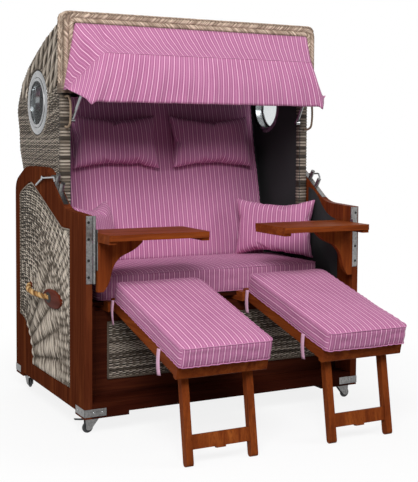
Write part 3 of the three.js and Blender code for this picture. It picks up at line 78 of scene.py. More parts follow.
def make_camera():
    data = bpy.data.cameras.new("camera")
    data.lens = CAMERA_LENS
    data.shift_y = CAMERA_SHIFT_Y
    camera = bpy.data.objects.new("camera", data)
    bpy.context.scene.collection.objects.link(camera)
    yaw, pitch, roll = CAMERA_YAW, CAMERA_PITCH, CAMERA_ROLL
    ahead = Vector((math.sin(yaw) * math.cos(pitch), math.cos(yaw) * math.cos(pitch), -math.sin(pitch)))
    level = Vector((math.cos(yaw), -math.sin(yaw), 0))
    up = level.cross(ahead)
    right = math.cos(roll) * level + math.sin(roll) * up
    up = math.cos(roll) * up - math.sin(roll) * level
    turn = Matrix((right, up, -ahead)).transposed().to_4x4()
    camera.matrix_world = Matrix.Translation(at(*CAMERA_PLACE)) @ turn
    bpy.context.scene.camera = camera


make_camera()


# Materials
def node(tree, kind, inputs=None, **settings):
    """A shader node with its settings, and its sockets linked or set."""
    made = tree.nodes.new(kind)
    for name, value in settings.items():
        setattr(made, name, value)
    for name, value in (inputs or {}).items():
        if isinstance(value, bpy.types.NodeSocket):
            tree.links.new(value, made.inputs[name])
        else:
            made.inputs[name].default_value = value
    return made


def ramp(tree, factor, stops):
    made = node(tree, "ShaderNodeValToRGB", {"Fac": factor})
    elements = made.color_ramp.elements
    while len(elements) < len(stops):
        elements.new(1)
    for element, (place, colour) in zip(elements, stops):
        element.position = place
        element.color = (*colour, 1)
    return made.outputs["Color"]


def mixed(tree, factor, first, second):
    colours = [c if isinstance(c, bpy.types.NodeSocket) else (*c, 1) for c in (first, second)]
    return node(tree, "ShaderNodeMix", {0: factor, 6: colours[0], 7: colours[1]}, data_type="RGBA").outputs[2]


def maths(tree, operation, first, second=0.0):
    return node(tree, "ShaderNodeMath", {0: first, 1: second}, operation=operation).outputs[0]


def ranged(tree, value, low, high, to_low=0.0, to_high=1.0, curve="LINEAR"):
    sockets = {0: value, 1: low, 2: high, 3: to_low, 4: to_high}
    return node(tree, "ShaderNodeMapRange", sockets, interpolation_type=curve).outputs[0]


def noise(tree, vector, detail=3.0, roughness=0.5, distortion=0.0):
    return node(tree, "ShaderNodeTexNoise", {
        "Vector": vector, "Scale": 1.0, "Detail": detail, "Roughness": roughness, "Distortion": distortion,
    }).outputs["Fac"]


def scaled(tree, vector, scale):
    return node(tree, "ShaderNodeMapping", {"Vector": vector, "Scale": scale}).outputs["Vector"]


def stretched(tree, scale):
    """Object coordinates, scaled by three factors."""
    return scaled(tree, node(tree, "ShaderNodeTexCoord").outputs["Object"], scale)


def surface(name, **sockets):
    """A new material: its node tree and its shader."""
    material = bpy.data.materials.new(name)
    material.use_nodes = True
    shader = material.node_tree.nodes["Principled BSDF"]
    for socket, value in sockets.items():
        shader.inputs[socket.replace("_", " ")].default_value = value
    return material, material.node_tree, shader


def finish_surface(tree, shader, colour, roughness, height, strength, distance):
    bump = node(tree, "ShaderNodeBump", {"Height": height, "Strength": strength, "Distance": distance})
    sockets = {"Base Color": colour, "Roughness": roughness, "Normal": bump.outputs["Normal"]}
    for socket, value in sockets.items():
        tree.links.new(value, shader.inputs[socket])


def wood(name, axis, tones, coat=0.015, shine=0.014):
    """Stained hardwood with its grain along one axis."""
    material, tree, shader = surface(name, Coat_Weight=coat, Coat_Roughness=0.25, Specular_IOR_Level=shine,
                                     Specular_Tint=(0.85, 0.50, 0.34, 1))
    along, fibre = [26.0] * 3, [420.0] * 3
    along[axis], fibre[axis] = 1.5, 9.0
    grain = noise(tree, stretched(tree, along), 6.0, 0.62, 1.1)
    pores = noise(tree, stretched(tree, fibre), 2.0, 0.6)
    patches = noise(tree, stretched(tree, (2.6, 2.6, 2.6)), 2.0)
    dark, middle, light = tones
    tinted = ramp(tree, grain, [(0.30, dark), (0.50, middle), (0.74, light)])
    toned = mixed(tree, ranged(tree, patches, 0.30, 0.65, 0.15, 0.65), tinted, middle)
    pored = mixed(tree, ranged(tree, pores, 0.52, 0.70, 0.0, 0.55), toned, dark)
    rough = ranged(tree, grain, 0.3, 0.7, 0.46, 0.30)
    height = maths(tree, "ADD", maths(tree, "MULTIPLY", grain, 0.6), maths(tree, "MULTIPLY", pores, -0.4))
    finish_surface(tree, shader, pored, rough, height, 0.22, 0.0008)
    return material


def wicker(name, dark, middle, light):
    """Woven strands, each running along U. The point attribute tone holds a strand's own tone and, on woven
    pieces, painted shade where it dips under its neighbours, in grooves and round its twists.
    """
    material, tree, shader = surface(name, Specular_IOR_Level=0.18)
    tone = node(tree, "ShaderNodeAttribute", attribute_name="tone").outputs["Fac"]
    run = node(tree, "ShaderNodeUVMap", uv_map="UVMap").outputs["UV"]
    streak = noise(tree, scaled(tree, run, (22, 5, 1)), 3.0, 0.6)
    fibre = noise(tree, scaled(tree, run, (40, 26, 1)), 2.0, 0.6)
    level = maths(tree, "ADD", maths(tree, "MULTIPLY", tone, 0.72), maths(tree, "MULTIPLY", streak, 0.28))
    toned = ramp(tree, level, [(0.14, dark), (0.48, middle), (0.86, light)])
    lined = mixed(tree, ranged(tree, fibre, 0.5, 0.75, 0.0, 0.4), toned, dark)
    finish_surface(tree, shader, lined, ranged(tree, streak, 0.3, 0.7, 0.5, 0.72), fibre, 0.35, 0.0006)
    return material


STRIPE_PITCH = 0.0225


def stripes(name, body, shade, line):
    """Woven cloth with pale pinstripes across U, both in metres along the cloth."""
    material, tree, shader = surface(name, Sheen_Weight=0.05, Sheen_Roughness=0.5, Specular_IOR_Level=0.06)
    cloth = node(tree, "ShaderNodeUVMap", uv_map="UVMap").outputs["UV"]
    across = node(tree, "ShaderNodeSeparateXYZ", {"Vector": cloth}).outputs["X"]
    phase = maths(tree, "FRACT", maths(tree, "DIVIDE", across, STRIPE_PITCH))
    off_main = maths(tree, "ABSOLUTE", maths(tree, "SUBTRACT", phase, 0.5))
    off_minor = maths(tree, "ABSOLUTE", maths(tree, "SUBTRACT", off_main, 0.5))
    main = ranged(tree, off_main, 0.045, 0.095, 1.0, 0.0, "SMOOTHSTEP")
    minor = ranged(tree, off_minor, 0.014, 0.045, 0.42, 0.0, "SMOOTHSTEP")
    side = ranged(tree, off_main, 0.14, 0.30, 0.55, 0.0, "SMOOTHSTEP")
    slub = noise(tree, scaled(tree, cloth, (1500, 420, 1)), 2.0, 0.6)
    slub_weft = noise(tree, scaled(tree, cloth, (160, 1300, 1)), 2.0, 0.6)
    patches = noise(tree, stretched(tree, (9, 9, 9)), 3.0, 0.55)
    dyed = mixed(tree, ranged(tree, patches, 0.3, 0.7, 0.0, 0.45), body, shade)
    dyed = mixed(tree, side, dyed, shade)
    dyed = mixed(tree, ranged(tree, slub, 0.45, 0.75, 0.0, 0.30), dyed, shade)
    dyed = mixed(tree, ranged(tree, slub_weft, 0.5, 0.8, 0.0, 0.22), dyed, line)
    pinstripes = maths(tree, "MAXIMUM", main, minor)
    worn = maths(tree, "MULTIPLY", pinstripes, ranged(tree, slub_weft, 0.25, 0.6, 0.90, 1.0))
    lined = mixed(tree, worn, dyed, line)
    height = maths(tree, "ADD", slub, slub_weft)
    finish_surface(tree, shader, lined, ranged(tree, slub, 0.3, 0.7, 0.78, 0.92), height, 0.25, 0.0005)
    return material


def plain(name, dark, light, scale, low, high, bump=0.15, **sockets):
    """Two tones mixed by a fine noise, with roughness and relief from it."""
    material, tree, shader = surface(name, **sockets)
    grain = noise(tree, stretched(tree, scale), 4.0, 0.6)
    cloud = noise(tree, stretched(tree, (6, 6, 6)), 2.0)
    level = maths(tree, "ADD", maths(tree, "MULTIPLY", grain, 0.6), maths(tree, "MULTIPLY", cloud, 0.4))
    toned = ramp(tree, level, [(0.30, dark), (0.70, light)])
    finish_surface(tree, shader, toned, ranged(tree, level, 0.3, 0.7, low, high), grain, bump, 0.0005)
    return material


WOOD_DARK = (0.050, 0.0085, 0.0035)
RED_TONES = (WOOD_DARK, (0.150, 0.030, 0.0090), (0.330, 0.085, 0.018))
# A darker, matte copy of the red wood, for the left cheek only: painted shade on that cheek.
LEFT_CHEEK_SHADE_TONES = (WOOD_DARK, (0.118, 0.028, 0.011), (0.26, 0.072, 0.022))
HONEY_TONES = ((0.070, 0.013, 0.005), (0.205, 0.044, 0.010), (0.39, 0.108, 0.022))
# A near-black copy of the red-brown wood for recessed parts: painted shade in the gaps beside and under the
# front panel and seat.
DEEP_SHADE_TONES = ((0.016, 0.004, 0.003), (0.055, 0.012, 0.006), (0.115, 0.027, 0.010))
PLATE_TONES = (WOOD_DARK, (0.120, 0.020, 0.009), (0.20, 0.045, 0.016))
# A near-black copy of the red-brown wood for the front rail: painted shade from the footrests above it.
RAIL_SHADE_TONES = ((0.020, 0.004, 0.002), (0.042, 0.008, 0.004), (0.085, 0.019, 0.007))
wood_up = wood("wood_upright", 2, RED_TONES)
wood_across = wood("wood_across", 0, RED_TONES)
wood_deep_shaded = wood("wood_deep_shaded", 0, DEEP_SHADE_TONES, 0.005)
wood_plate = wood("wood_plate", 1, PLATE_TONES, 0.02)
wood_rail_shaded = wood("wood_rail_shaded", 0, RAIL_SHADE_TONES, 0.0)
wood_left_cheek_shaded = wood("wood_left_cheek_shaded", 2, LEFT_CHEEK_SHADE_TONES, 0.0, 0.0)
wood_honey_across = wood("wood_honey_across", 0, HONEY_TONES)
wood_honey_along = wood("wood_honey_along", 1, HONEY_TONES)
wood_honey_up = wood("wood_honey_upright", 2, HONEY_TONES)
grey_wicker = wicker("grey_wicker", (0.016, 0.012, 0.009), (0.132, 0.104, 0.079), (0.74, 0.65, 0.55))
beige_wicker = wicker("beige_wicker", (0.045, 0.026, 0.017), (0.38, 0.275, 0.205), (0.88, 0.72, 0.58))
# Near-black core behind the woven strands: painted shade seen through the gaps between them.
gap_shade_core = plain("gap_shade_core", (0.010, 0.007, 0.005), (0.028, 0.020, 0.014), (90, 90, 90), 0.8, 0.9)
MAUVE = (0.515, 0.185, 0.350)
striped = stripes("striped_cloth", MAUVE, (0.365, 0.100, 0.232), (0.90, 0.56, 0.73))
lining = plain("dark_lining", (0.007, 0.007, 0.008), (0.020, 0.020, 0.022), (900, 900, 260), 0.75, 0.9)
polished = plain("polished_steel", (0.20, 0.204, 0.21), (0.42, 0.425, 0.43), (60, 400, 60), 0.12, 0.24, 0.03,
                 Metallic=1)
zinc = plain("zinc_steel", (0.10, 0.10, 0.10), (0.34, 0.335, 0.33), (130, 130, 130), 0.28, 0.45, 0.08,
             Metallic=1)
dark_steel = plain("dark_steel", (0.012, 0.012, 0.012), (0.05, 0.05, 0.05), (300, 300, 300), 0.3, 0.5,
                   Metallic=1)
rubber = plain("black_rubber", (0.012, 0.013, 0.014), (0.040, 0.042, 0.045), (220, 220, 220), 0.45, 0.62)
rope = wicker("tan_rope", (0.10, 0.040, 0.010), (0.40, 0.20, 0.060), (0.80, 0.54, 0.25))
welt_cloth = plain("welt_cloth", MAUVE, (0.66, 0.32, 0.50), (300, 300, 300), 0.8, 0.9,
                   Specular_IOR_Level=0.06)
ribbon_cloth = plain("ribbon_cloth", (0.56, 0.30, 0.43), (0.72, 0.45, 0.58), (400, 400, 400), 0.8, 0.9,
                     Specular_IOR_Level=0.06)
# Near-black: painted shadow standing in for the handle's recess.
recess_shadow_paint = plain("painted_recess_shadow", (0.004, 0.003, 0.003), (0.012, 0.010, 0.008), (80, 80, 80), 0.8, 0.9)
brown_rope = plain("brown_rope", (0.16, 0.105, 0.065), (0.42, 0.31, 0.21), (160, 160, 160), 0.65, 0.8, 0.4)
glass = plain("pane_glass", (0.66, 0.69, 0.70), (0.72, 0.75, 0.76), (20, 20, 20), 0.0, 0.02, 0.0,
              Transmission_Weight=1, IOR=1.06)


# Meshes
def mesh_object(name, points, faces, material, smooth=True, uv=None, tone=None):
    mesh = bpy.data.meshes.new(name)
    mesh.from_pydata([tuple(p) for p in points], [], faces)
    mesh.update()
    if smooth:
        mesh.shade_smooth()
    if uv is not None:
        layer = mesh.uv_layers.new(name="UVMap")
        index = np.zeros(len(mesh.loops), np.int32)
        mesh.loops.foreach_get("vertex_index", index)
        per_corner = uv if len(uv) == len(index) else np.asarray(uv)[index]
        layer.data.foreach_set("uv", np.asarray(per_corner, np.float32).ravel())
    if tone is not None:
        layer = mesh.attributes.new("tone", "FLOAT", "POINT")
        layer.data.foreach_set("value", np.asarray(tone, np.float32))
    mesh.materials.append(material)
    made = bpy.data.objects.new(name, mesh)
    bpy.context.scene.collection.objects.link(made)
    return made


def unit(vectors):
    length = np.linalg.norm(vectors, axis=-1, keepdims=True)
    return vectors / np.maximum(length, 1e-9)


def heading(line):
    return unit(np.gradient(line, axis=0))


def run_along(line):
    """Length along a line, at each of its points."""
    return np.concatenate([[0], np.cumsum(np.linalg.norm(np.diff(line, axis=0), axis=1))])


def ring_faces(rings, steps, start=0, flip=False, closed=False):
    """Quads between rings of points, with a face over each end unless the last ring meets the first."""
    ids = start + np.arange(rings * steps).reshape(rings, steps)
    ends = [] if closed else [ids[0, ::-1].tolist(), ids[-1].tolist()]
    if closed:
        ids = np.concatenate([ids, ids[:1]])
    beyond = np.roll(ids, -1, axis=1)
    quads = np.stack([ids[:-1], beyond[:-1], beyond[1:], ids[1:]], axis=-1).reshape(-1, 4)
    faces = quads.tolist() + ends
    return [face[::-1] for face in faces] if flip else faces


def runs(mask, least=3):
    """Stretches of a mask that are true, as slices."""
    found, start = [], None
    for i, value in enumerate([*mask, False]):
        if value and start is None:
            start = i
        elif not value and start is not None:
            if i - start >= least:
                found.append(slice(start, i))
            start = None
    return found


class Strands:
    """Many strands in one mesh, each a closed tube of oval section."""

    def __init__(self, sides=6):
        self.sides = sides
        self.points, self.faces, self.uv, self.tone = [], [], [], []
        self.count = 0

    def add(self, line, normal, width, height, tone):
        """A strand along line, wide in the surface and high along its normal, both as half sizes."""
        line = np.asarray(line, float)
        along = heading(line)
        across = unit(np.cross(along, np.broadcast_to(np.asarray(normal, float), line.shape)))
        up = np.cross(across, along)
        n, sides = len(line), self.sides
        angle = TURN * np.arange(sides)[None, :, None] / sides
        width = np.broadcast_to(width, (n,))[:, None, None]
        height = np.broadcast_to(height, (n,))[:, None, None]
        ring = np.cos(angle) * up[:, None, :] * height + np.sin(angle) * across[:, None, :] * width
        self.points.append((line[:, None, :] + ring).reshape(-1, 3))
        self.faces += ring_faces(n, sides, self.count)
        run = run_along(line)[:, None] + self.count % 97
        uv = np.stack(np.broadcast_arrays(run, np.arange(sides)[None, :] / sides), axis=-1)
        self.uv.append(uv.reshape(-1, 2))
        self.tone.append(np.broadcast_to(np.asarray(tone, float).reshape(-1, 1), (n, sides)).ravel())
        self.count += n * sides

    def add_where(self, mask, line, normal, width, height, tone):
        """The stretches of a strand where mask is true."""
        for part in runs(mask):
            self.add(line[part], normal, np.broadcast_to(width, mask.shape)[part], height, tone[part])

    def add_pair(self, line, across, normal, step, turn, swing, lift, radii, tones):
        """Two strands twisted round a line, given its directions in and out of the surface; tones are a level
        and the swing of a painted shade that follows the twist.
        """
        for phase in (0, math.pi):
            angle = np.arange(len(line)) * step * TURN / turn + phase
            path = line + across * (swing * np.cos(angle))[:, None] + normal * (lift * np.sin(angle))[:, None]
            # Painted shade: the tone rises and falls with each turn of the twist.
            self.add(path, normal, *radii, tones[0] + tones[1] * np.cos(angle))

    def build(self, name, material):
        return mesh_object(name, moved(np.concatenate(self.points)), self.faces, material,
                           uv=np.concatenate(self.uv), tone=np.concatenate(self.tone))


def inside(polygon, a, b):
    """Which of the points (a, b) lie in the polygon."""
    held = np.zeros(np.shape(a), bool)
    corners = list(polygon)
    for (a0, b0), (a1, b1) in zip(corners, corners[1:] + corners[:1]):
        if b0 != b1:
            held ^= ((b0 > b) != (b1 > b)) & (a < (a1 - a0) * (b - b0) / (b1 - b0) + a0)
    return held


def ride(piece, body, slot, *replaced):
    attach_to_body(piece, body)
    if replaced:
        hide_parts(*replaced)
    return piece


def resampled(points, step):
    """The same line, with points about step apart."""
    points = np.asarray(points, float)
    run = run_along(points)
    places = np.linspace(0, run[-1], max(int(round(run[-1] / step)), 2) + 1)
    return np.stack([np.interp(places, run, points[:, k]) for k in range(points.shape[1])], axis=1)


def rounded(corners, rounding, steps=5):
    """An open line through corners, each but the ends rounded by a parabola."""
    corners = [np.asarray(c, float) for c in corners]
    line = [corners[0]]
    for before, corner, after in zip(corners, corners[1:], corners[2:]):
        entry = corner + unit(before - corner) * rounding
        leave = corner + unit(after - corner) * rounding
        for t in np.arange(steps + 1) / steps:
            line.append((1 - t) ** 2 * entry + 2 * t * (1 - t) * corner + t ** 2 * leave)
    return np.array([*line, corners[-1]])


def at_x(x, line):
    """A (y, z) line as points at one x."""
    return np.column_stack([np.full(len(line), x), line])


OUTWARD = np.array([1.0, 0, 0])
FORWARD = np.array([0, -1.0, 0])
REARWARD = np.array([0, 1.0, 0])
UPWARD = np.array([0, 0, 1.0])

# Wicker of the cheeks: arcs about the lower rear corner, over ribs that fan out from it
STRAND_PITCH, STRAND_WIDTH, STRAND_HEIGHT = 0.0056, 0.0021, 0.0022
WEAVE_RISE, RIB_PITCH = 0.0030, 0.030
FAN_RISE, FAN_LOBES, FAN_REACH = 0.0095, 14.5, 1.02
FAN_END_ANGLE, FAN_END_RADIUS = math.radians(64), 0.66
CHEEK_FACE = 0.6035
OPENING_CORNER = (0.804, 0.145)
QUADRANT = 0.185
CHEEK_OPENING = [(0.158, 0.145), (0.158, 0.756), (0.251, 0.756), (0.600, 0.905), (0.640, 0.913),
                 (0.690, 0.904), (0.780, 0.872), (0.800, 0.855), (0.804, 0.830), (0.804, 0.145)]
CHEEK_BORDER = [(0.163, 0.151), (0.163, 0.750), (0.254, 0.750), (0.602, 0.899), (0.640, 0.906),
                (0.688, 0.898), (0.776, 0.867), (0.797, 0.850), (0.798, 0.335)]
BORDER_STEP = 0.006


def cheek_weave(side):
    strands = Strands()
    rear, low = OPENING_CORNER
    for row in range(int(FAN_REACH / STRAND_PITCH)):
        radius = QUADRANT + 0.006 + row * STRAND_PITCH
        angle = np.linspace(0, math.pi / 2, max(int(radius * math.pi / 2 / 0.0070), 8))
        arc = radius + 0.0012 * np.sin(angle * 37 + row * 1.7)
        y, z = rear - arc * np.cos(angle), low + arc * np.sin(angle)
        ribs = np.floor(math.pi / 2 * min(max(radius, 0.26), 0.62) / RIB_PITCH)
        weave = np.cos(angle / (math.pi / 2) * ribs * math.pi + row * math.pi)
        fade = np.clip((FAN_END_ANGLE - angle) / 0.22, 0, 1) * np.clip((FAN_END_RADIUS - radius) / 0.20, 0, 1)
        fan = np.abs(np.sin((angle + 0.05) * FAN_LOBES)) ** 0.4
        out = CHEEK_FACE + WEAVE_RISE * weave * (1 - 0.8 * fade) + FAN_RISE * (fan - 0.12) * fade
        # Each strand's own random tone plus painted shade: darker where it dips under a rib and in the
        # grooves between the fan's lobes.
        shade = chance.uniform(0.20, 0.78) + 0.36 * weave * (1 - fade) + fade * (0.72 * fan - 0.44)
        strands.add_where(inside(CHEEK_OPENING, y, z), np.stack([side * out, y, z], axis=1), (side, 0, 0),
                          STRAND_WIDTH * (1 - 0.10 * fade), STRAND_HEIGHT, np.clip(shade, 0, 1))
    quadrant = [(rear - (QUADRANT + 0.005) * math.cos(a), low + (QUADRANT + 0.005) * math.sin(a))
                for a in np.linspace(math.pi / 2, 0, 14)]
    loop = at_x(side * (CHEEK_FACE + 0.002),
                resampled(np.array([*CHEEK_BORDER, *quadrant, CHEEK_BORDER[0]]), BORDER_STEP))
    strands.add_pair(loop, np.cross(OUTWARD, heading(loop)), side * OUTWARD, BORDER_STEP,
                     turn=0.026, swing=0.0026, lift=0.0026, radii=(0.0028, 0.0028), tones=(0.50, 0.30))
    return strands


for where, side in SIDES.items():
    ride(cheek_weave(side).build(f"cheek_weave_{where}", grey_wicker), "box", "wicker")
    # The cheek's own wicker panel turns near-black, as painted shade behind the strands.
    nodes[f"cheek_wicker_{where}"].data.materials[0] = gap_shade_core


# Wicker of the front panel: level rows over upright stakes
PANEL_HALF, PANEL_LOW, PANEL_HIGH, PANEL_FACE = 0.474, 0.179, 0.395, 0.1135
PANEL_ROW, PANEL_STAKE = 0.0045, 0.0140


def front_panel_weave():
    strands = Strands()
    rows = int((PANEL_HIGH - PANEL_LOW) / PANEL_ROW)
    x = np.arange(-PANEL_HALF, PANEL_HALF, 0.0045)
    for row in range(rows):
        level = PANEL_LOW + (row + 0.5) * (PANEL_HIGH - PANEL_LOW) / rows
        weave = np.cos(x / PANEL_STAKE * math.pi + row * math.pi + 0.25 * math.sin(row * 2.1))
        z = level + 0.0012 * np.sin(x * 31 + row) * np.sin(x * 7 + 2)
        # Each row's own random tone plus painted shade where it dips behind a stake.
        tone = np.clip(chance.uniform(0.15, 0.78) + 0.28 * weave, 0, 1)
        strands.add(np.stack([x, PANEL_FACE - 0.0026 * weave, z], axis=1), FORWARD, 0.0018, 0.0019, tone)
    face = PANEL_FACE - 0.004
    corners = [(-PANEL_HALF, face, PANEL_LOW), (PANEL_HALF, face, PANEL_LOW), (PANEL_HALF, face, PANEL_HIGH),
               (-PANEL_HALF, face, PANEL_HIGH), (-PANEL_HALF, face, PANEL_LOW)]
    loop = resampled(corners, BORDER_STEP)
    strands.add_pair(loop, np.cross(FORWARD, heading(loop)), FORWARD, BORDER_STEP,
                     turn=0.022, swing=0.0022, lift=0.0022, radii=(0.0026, 0.0026), tones=(0.45, 0))
    return strands


ride(front_panel_weave().build("front_panel_weave", grey_wicker), "box", "wicker")
# The front panel's own wicker turns near-black, as painted shade behind the strands.
nodes["front_panel_wicker"].data.materials[0] = gap_shade_core

# Hood outline in (y, z), from the foot up the back and forward to the rim
HOOD_FRONT, HOOD_DEPTH = 0.302, 0.621
HOOD_FOOT, HOOD_TOP = 0.620, 1.595
HOOD_PROFILE_SHARES = [
    (0.625, 0), (0.876, 0.358), (0.944, 0.436), (0.958, 0.524), (0.985, 0.575), (1, 0.608), (0.984, 0.64),
    (0.939, 0.682), (0.866, 0.738), (0.749, 0.793), (0.568, 0.85), (0.375, 0.901), (0.172, 0.944),
    (0.126, 0.953),
]
HOOD_PROFILE = np.array([(HOOD_FRONT + depth * HOOD_DEPTH, HOOD_FOOT + rise * (HOOD_TOP - HOOD_FOOT))
                         for depth, rise in HOOD_PROFILE_SHARES])
POST_REAR = 0.378
SIDE_FACE = 0.5755
SIDE_ROW, SIDE_STAKE = 0.0045, 0.019
EDGE_STEP = 0.0075
DIAGONAL_LOW, DIAGONAL_PITCH, DIAGONAL_WAVE = 1.268, 0.0272, 0.13
DIAGONAL_ROWS, DIAGONAL_ORIGIN, DIAGONAL_WAY = 33, (0.30, 1.28), (0.62, -0.78)
PORTHOLE = (0.645, 1.245)
PORTHOLE_CLEAR = 0.141


def sweep(y, z):
    """How far the level rows rise towards the rim's foot, near the post."""
    return 0.042 * np.exp(-((y - POST_REAR) / 0.085) ** 2) * np.clip((z - 1.06) / 0.21, 0, 1)


def hood_side_weave(side):
    strands = Strands()
    outline = [(POST_REAR, 0.70), (0.500, 0.60), *HOOD_PROFILE[1:-1].tolist(),
               (0.38, 1.546), (POST_REAR, 1.50)]

    def lay(y, z, out, held, width, height, tone):
        away = np.hypot(y - PORTHOLE[0], z - PORTHOLE[1]) > PORTHOLE_CLEAR
        line = np.stack([side * out, y, z], axis=1)
        strands.add_where(inside(outline, y, z) & away & held, line, (side, 0, 0), width, height, tone)

    y = np.arange(POST_REAR, 0.93, 0.0058)
    for row in range(int((DIAGONAL_LOW - HOOD_FOOT) / SIDE_ROW)):
        z = HOOD_FOOT + row * SIDE_ROW
        weave = np.cos(y / SIDE_STAKE * math.pi + row * math.pi)
        # Each row's own random tone plus painted shade where it dips behind a stake.
        tone = np.clip(chance.uniform(0.28, 0.92) + 0.34 * weave, 0, 1)
        wave = 0.0011 * np.sin(y * 61 + row) + 0.0008 * np.sin(y * 127 + 2.3 * row)
        lay(y, z + sweep(y, z) + wave, SIDE_FACE + 0.0022 * weave, True, 0.0019, 0.0019, tone)
    direction = unit(np.array(DIAGONAL_WAY))
    across = np.array([-direction[1], direction[0]])
    run = np.arange(-0.35, 0.75, 0.0075)
    for row in range(DIAGONAL_ROWS):
        base = chance.uniform(0.45, 0.62)
        bend = run * TURN / DIAGONAL_WAVE + row * math.pi
        middle = 0.0045 * np.sin(bend)
        for strand in range(-2, 3):
            origin = np.array(DIAGONAL_ORIGIN) + across * (row * DIAGONAL_PITCH + strand * 0.0045)
            y, z = (origin + direction * run[:, None] + across * middle[:, None]).T
            arch = 1 - (strand / 2.4) ** 2
            roll = np.sin(bend + strand * 0.5)
            out = SIDE_FACE - 0.0010 + 0.0062 * arch + 0.0014 * roll
            # Each bundle's own random tone, darker toward the bundle's edges and where its strands roll
            # under: painted shade.
            tone = np.clip(base * (0.52 + 0.80 * arch) + chance.uniform(-0.12, 0.14) + 0.16 * roll, 0, 1)
            above = z > DIAGONAL_LOW - 0.004 + sweep(y, DIAGONAL_LOW)
            lay(y, z, out, above, 0.0029, 0.0026, tone)
    around = np.linspace(0, TURN, 97)
    ring = np.column_stack([PORTHOLE[0] + PORTHOLE_CLEAR * np.cos(around),
                            PORTHOLE[1] + PORTHOLE_CLEAR * np.sin(around)])
    spokes = np.column_stack([np.zeros(97), np.cos(around), np.sin(around)])
    strands.add_pair(at_x(side * (SIDE_FACE + 0.001), ring), spokes, side * OUTWARD, around[1],
                     turn=TURN / 26, swing=0.0025, lift=0.0022, radii=(0.0034, 0.0030), tones=(0.5, 0.35))
    edge = at_x(side * (SIDE_FACE - 0.002), resampled(HOOD_PROFILE, EDGE_STEP))
    strands.add_pair(edge, np.cross(heading(edge), OUTWARD), side * OUTWARD, EDGE_STEP,
                     turn=0.034, swing=0.0028, lift=0.0028, radii=(0.0040, 0.0040), tones=(0.5, 0.3))
    return strands


for where, side in SIDES.items():
    ride(hood_side_weave(side).build(f"hood_weave_{where}", grey_wicker), "hood", "wicker")
    nodes[f"hood_side_{where}"].data.materials[0] = lining


BACK_ROW, BACK_STAKE = 0.0066, 0.030


def hood_back_weave():
    """Level rows from the hood's foot over its back and roof."""
    strands = Strands()
    line = resampled(HOOD_PROFILE, BACK_ROW)
    x = np.arange(-0.570, 0.5701, BACK_STAKE / 2)
    for row, ((y, z), (dy, dz)) in enumerate(zip(line, heading(line))):
        if y < 0.386 and z > 1.2:
            continue
        weave = np.cos(x / BACK_STAKE * math.pi + row * math.pi)
        lift = 0.0028 + 0.0024 * weave
        wave = 0.0006 * np.sin(x * 57 + row * 2.1)
        points = np.stack([x, y + dz * lift + dy * wave, z - dy * lift + dz * wave], axis=1)
        # Each row's own random tone plus painted shade where it dips behind a stake.
        tone = np.clip(chance.uniform(0.25, 0.68) + 0.32 * weave, 0, 1)
        strands.add(points, (0, dz, -dy), 0.0030, 0.0022, tone)
    return strands


ride(hood_back_weave().build("hood_back_weave", grey_wicker), "hood", "wicker")
nodes["hood_back"].data.materials[0] = lining

# Posts of the hood, wrapped in flat strands
POST_LOW, POST_HIGH, WRAP_PITCH = 0.655, 1.272, 0.0128
POST_MIDDLE, POST_HALF = (0.5563, 0.3625), (0.0205, 0.0172)
POST_SQUARENESS = 0.55
POST_SIDES = 20


def post_wrap(where, side):
    levels = np.arange(POST_LOW, POST_HIGH, WRAP_PITCH / 6)
    turns = (levels - POST_LOW) / WRAP_PITCH
    angle = np.linspace(0, TURN, POST_SIDES, endpoint=False)
    ring_x, ring_y = [np.sign(s) * np.abs(s) ** POST_SQUARENESS for s in (np.cos(angle), np.sin(angle))]
    points, tones, uv = [], [], []
    shades = chance.uniform(0.45, 0.78, size=int((POST_HIGH - POST_LOW) / WRAP_PITCH) + 2)
    shades[chance.integers(0, len(shades), size=len(shades) // 5)] = 0.10
    for level, turn in zip(levels, turns):
        bulge = math.sin(math.pi * (turn % 1))
        grow = 0.0026 * max(bulge, 0) ** 0.5 - 0.0012
        height = np.full(POST_SIDES, level)
        points.append(np.stack([side * (POST_MIDDLE[0] + (POST_HALF[0] + grow) * ring_x),
                                POST_MIDDLE[1] + (POST_HALF[1] + grow) * ring_y, height], axis=1))
        # Each turn's own tone, darkened toward the turn's edges as painted shade in the grooves between
        # turns.
        tones.append(np.full(POST_SIDES, shades[int(turn)] * (0.35 + 0.65 * bulge)))
        uv.append(np.stack([angle * 0.03 + int(turn), height * 60], axis=1))
    return mesh_object(f"post_wrap_{where}", moved(np.concatenate(points)),
                       ring_faces(len(levels), POST_SIDES, flip=side < 0), grey_wicker,
                       uv=np.concatenate(uv), tone=np.concatenate(tones))


for where, side in SIDES.items():
    ride(post_wrap(where, side), "hood", "wicker")

# Rim: a near-black core, painted as the shade between its strands, and a plait of slanting arms on its front
# and outer faces
RIM_HALF, RIM_TOP, RIM_REAR, RIM_FOOT = 0.582, 1.595, 0.380, 1.275
RIM_THICK, RIM_HIGH = 0.045, 0.054
PLAIT_LIFT, PLAIT_ARMS, PLAIT_RADIUS = 0.0060, 4, 0.0019
RIM_STEP = 0.006


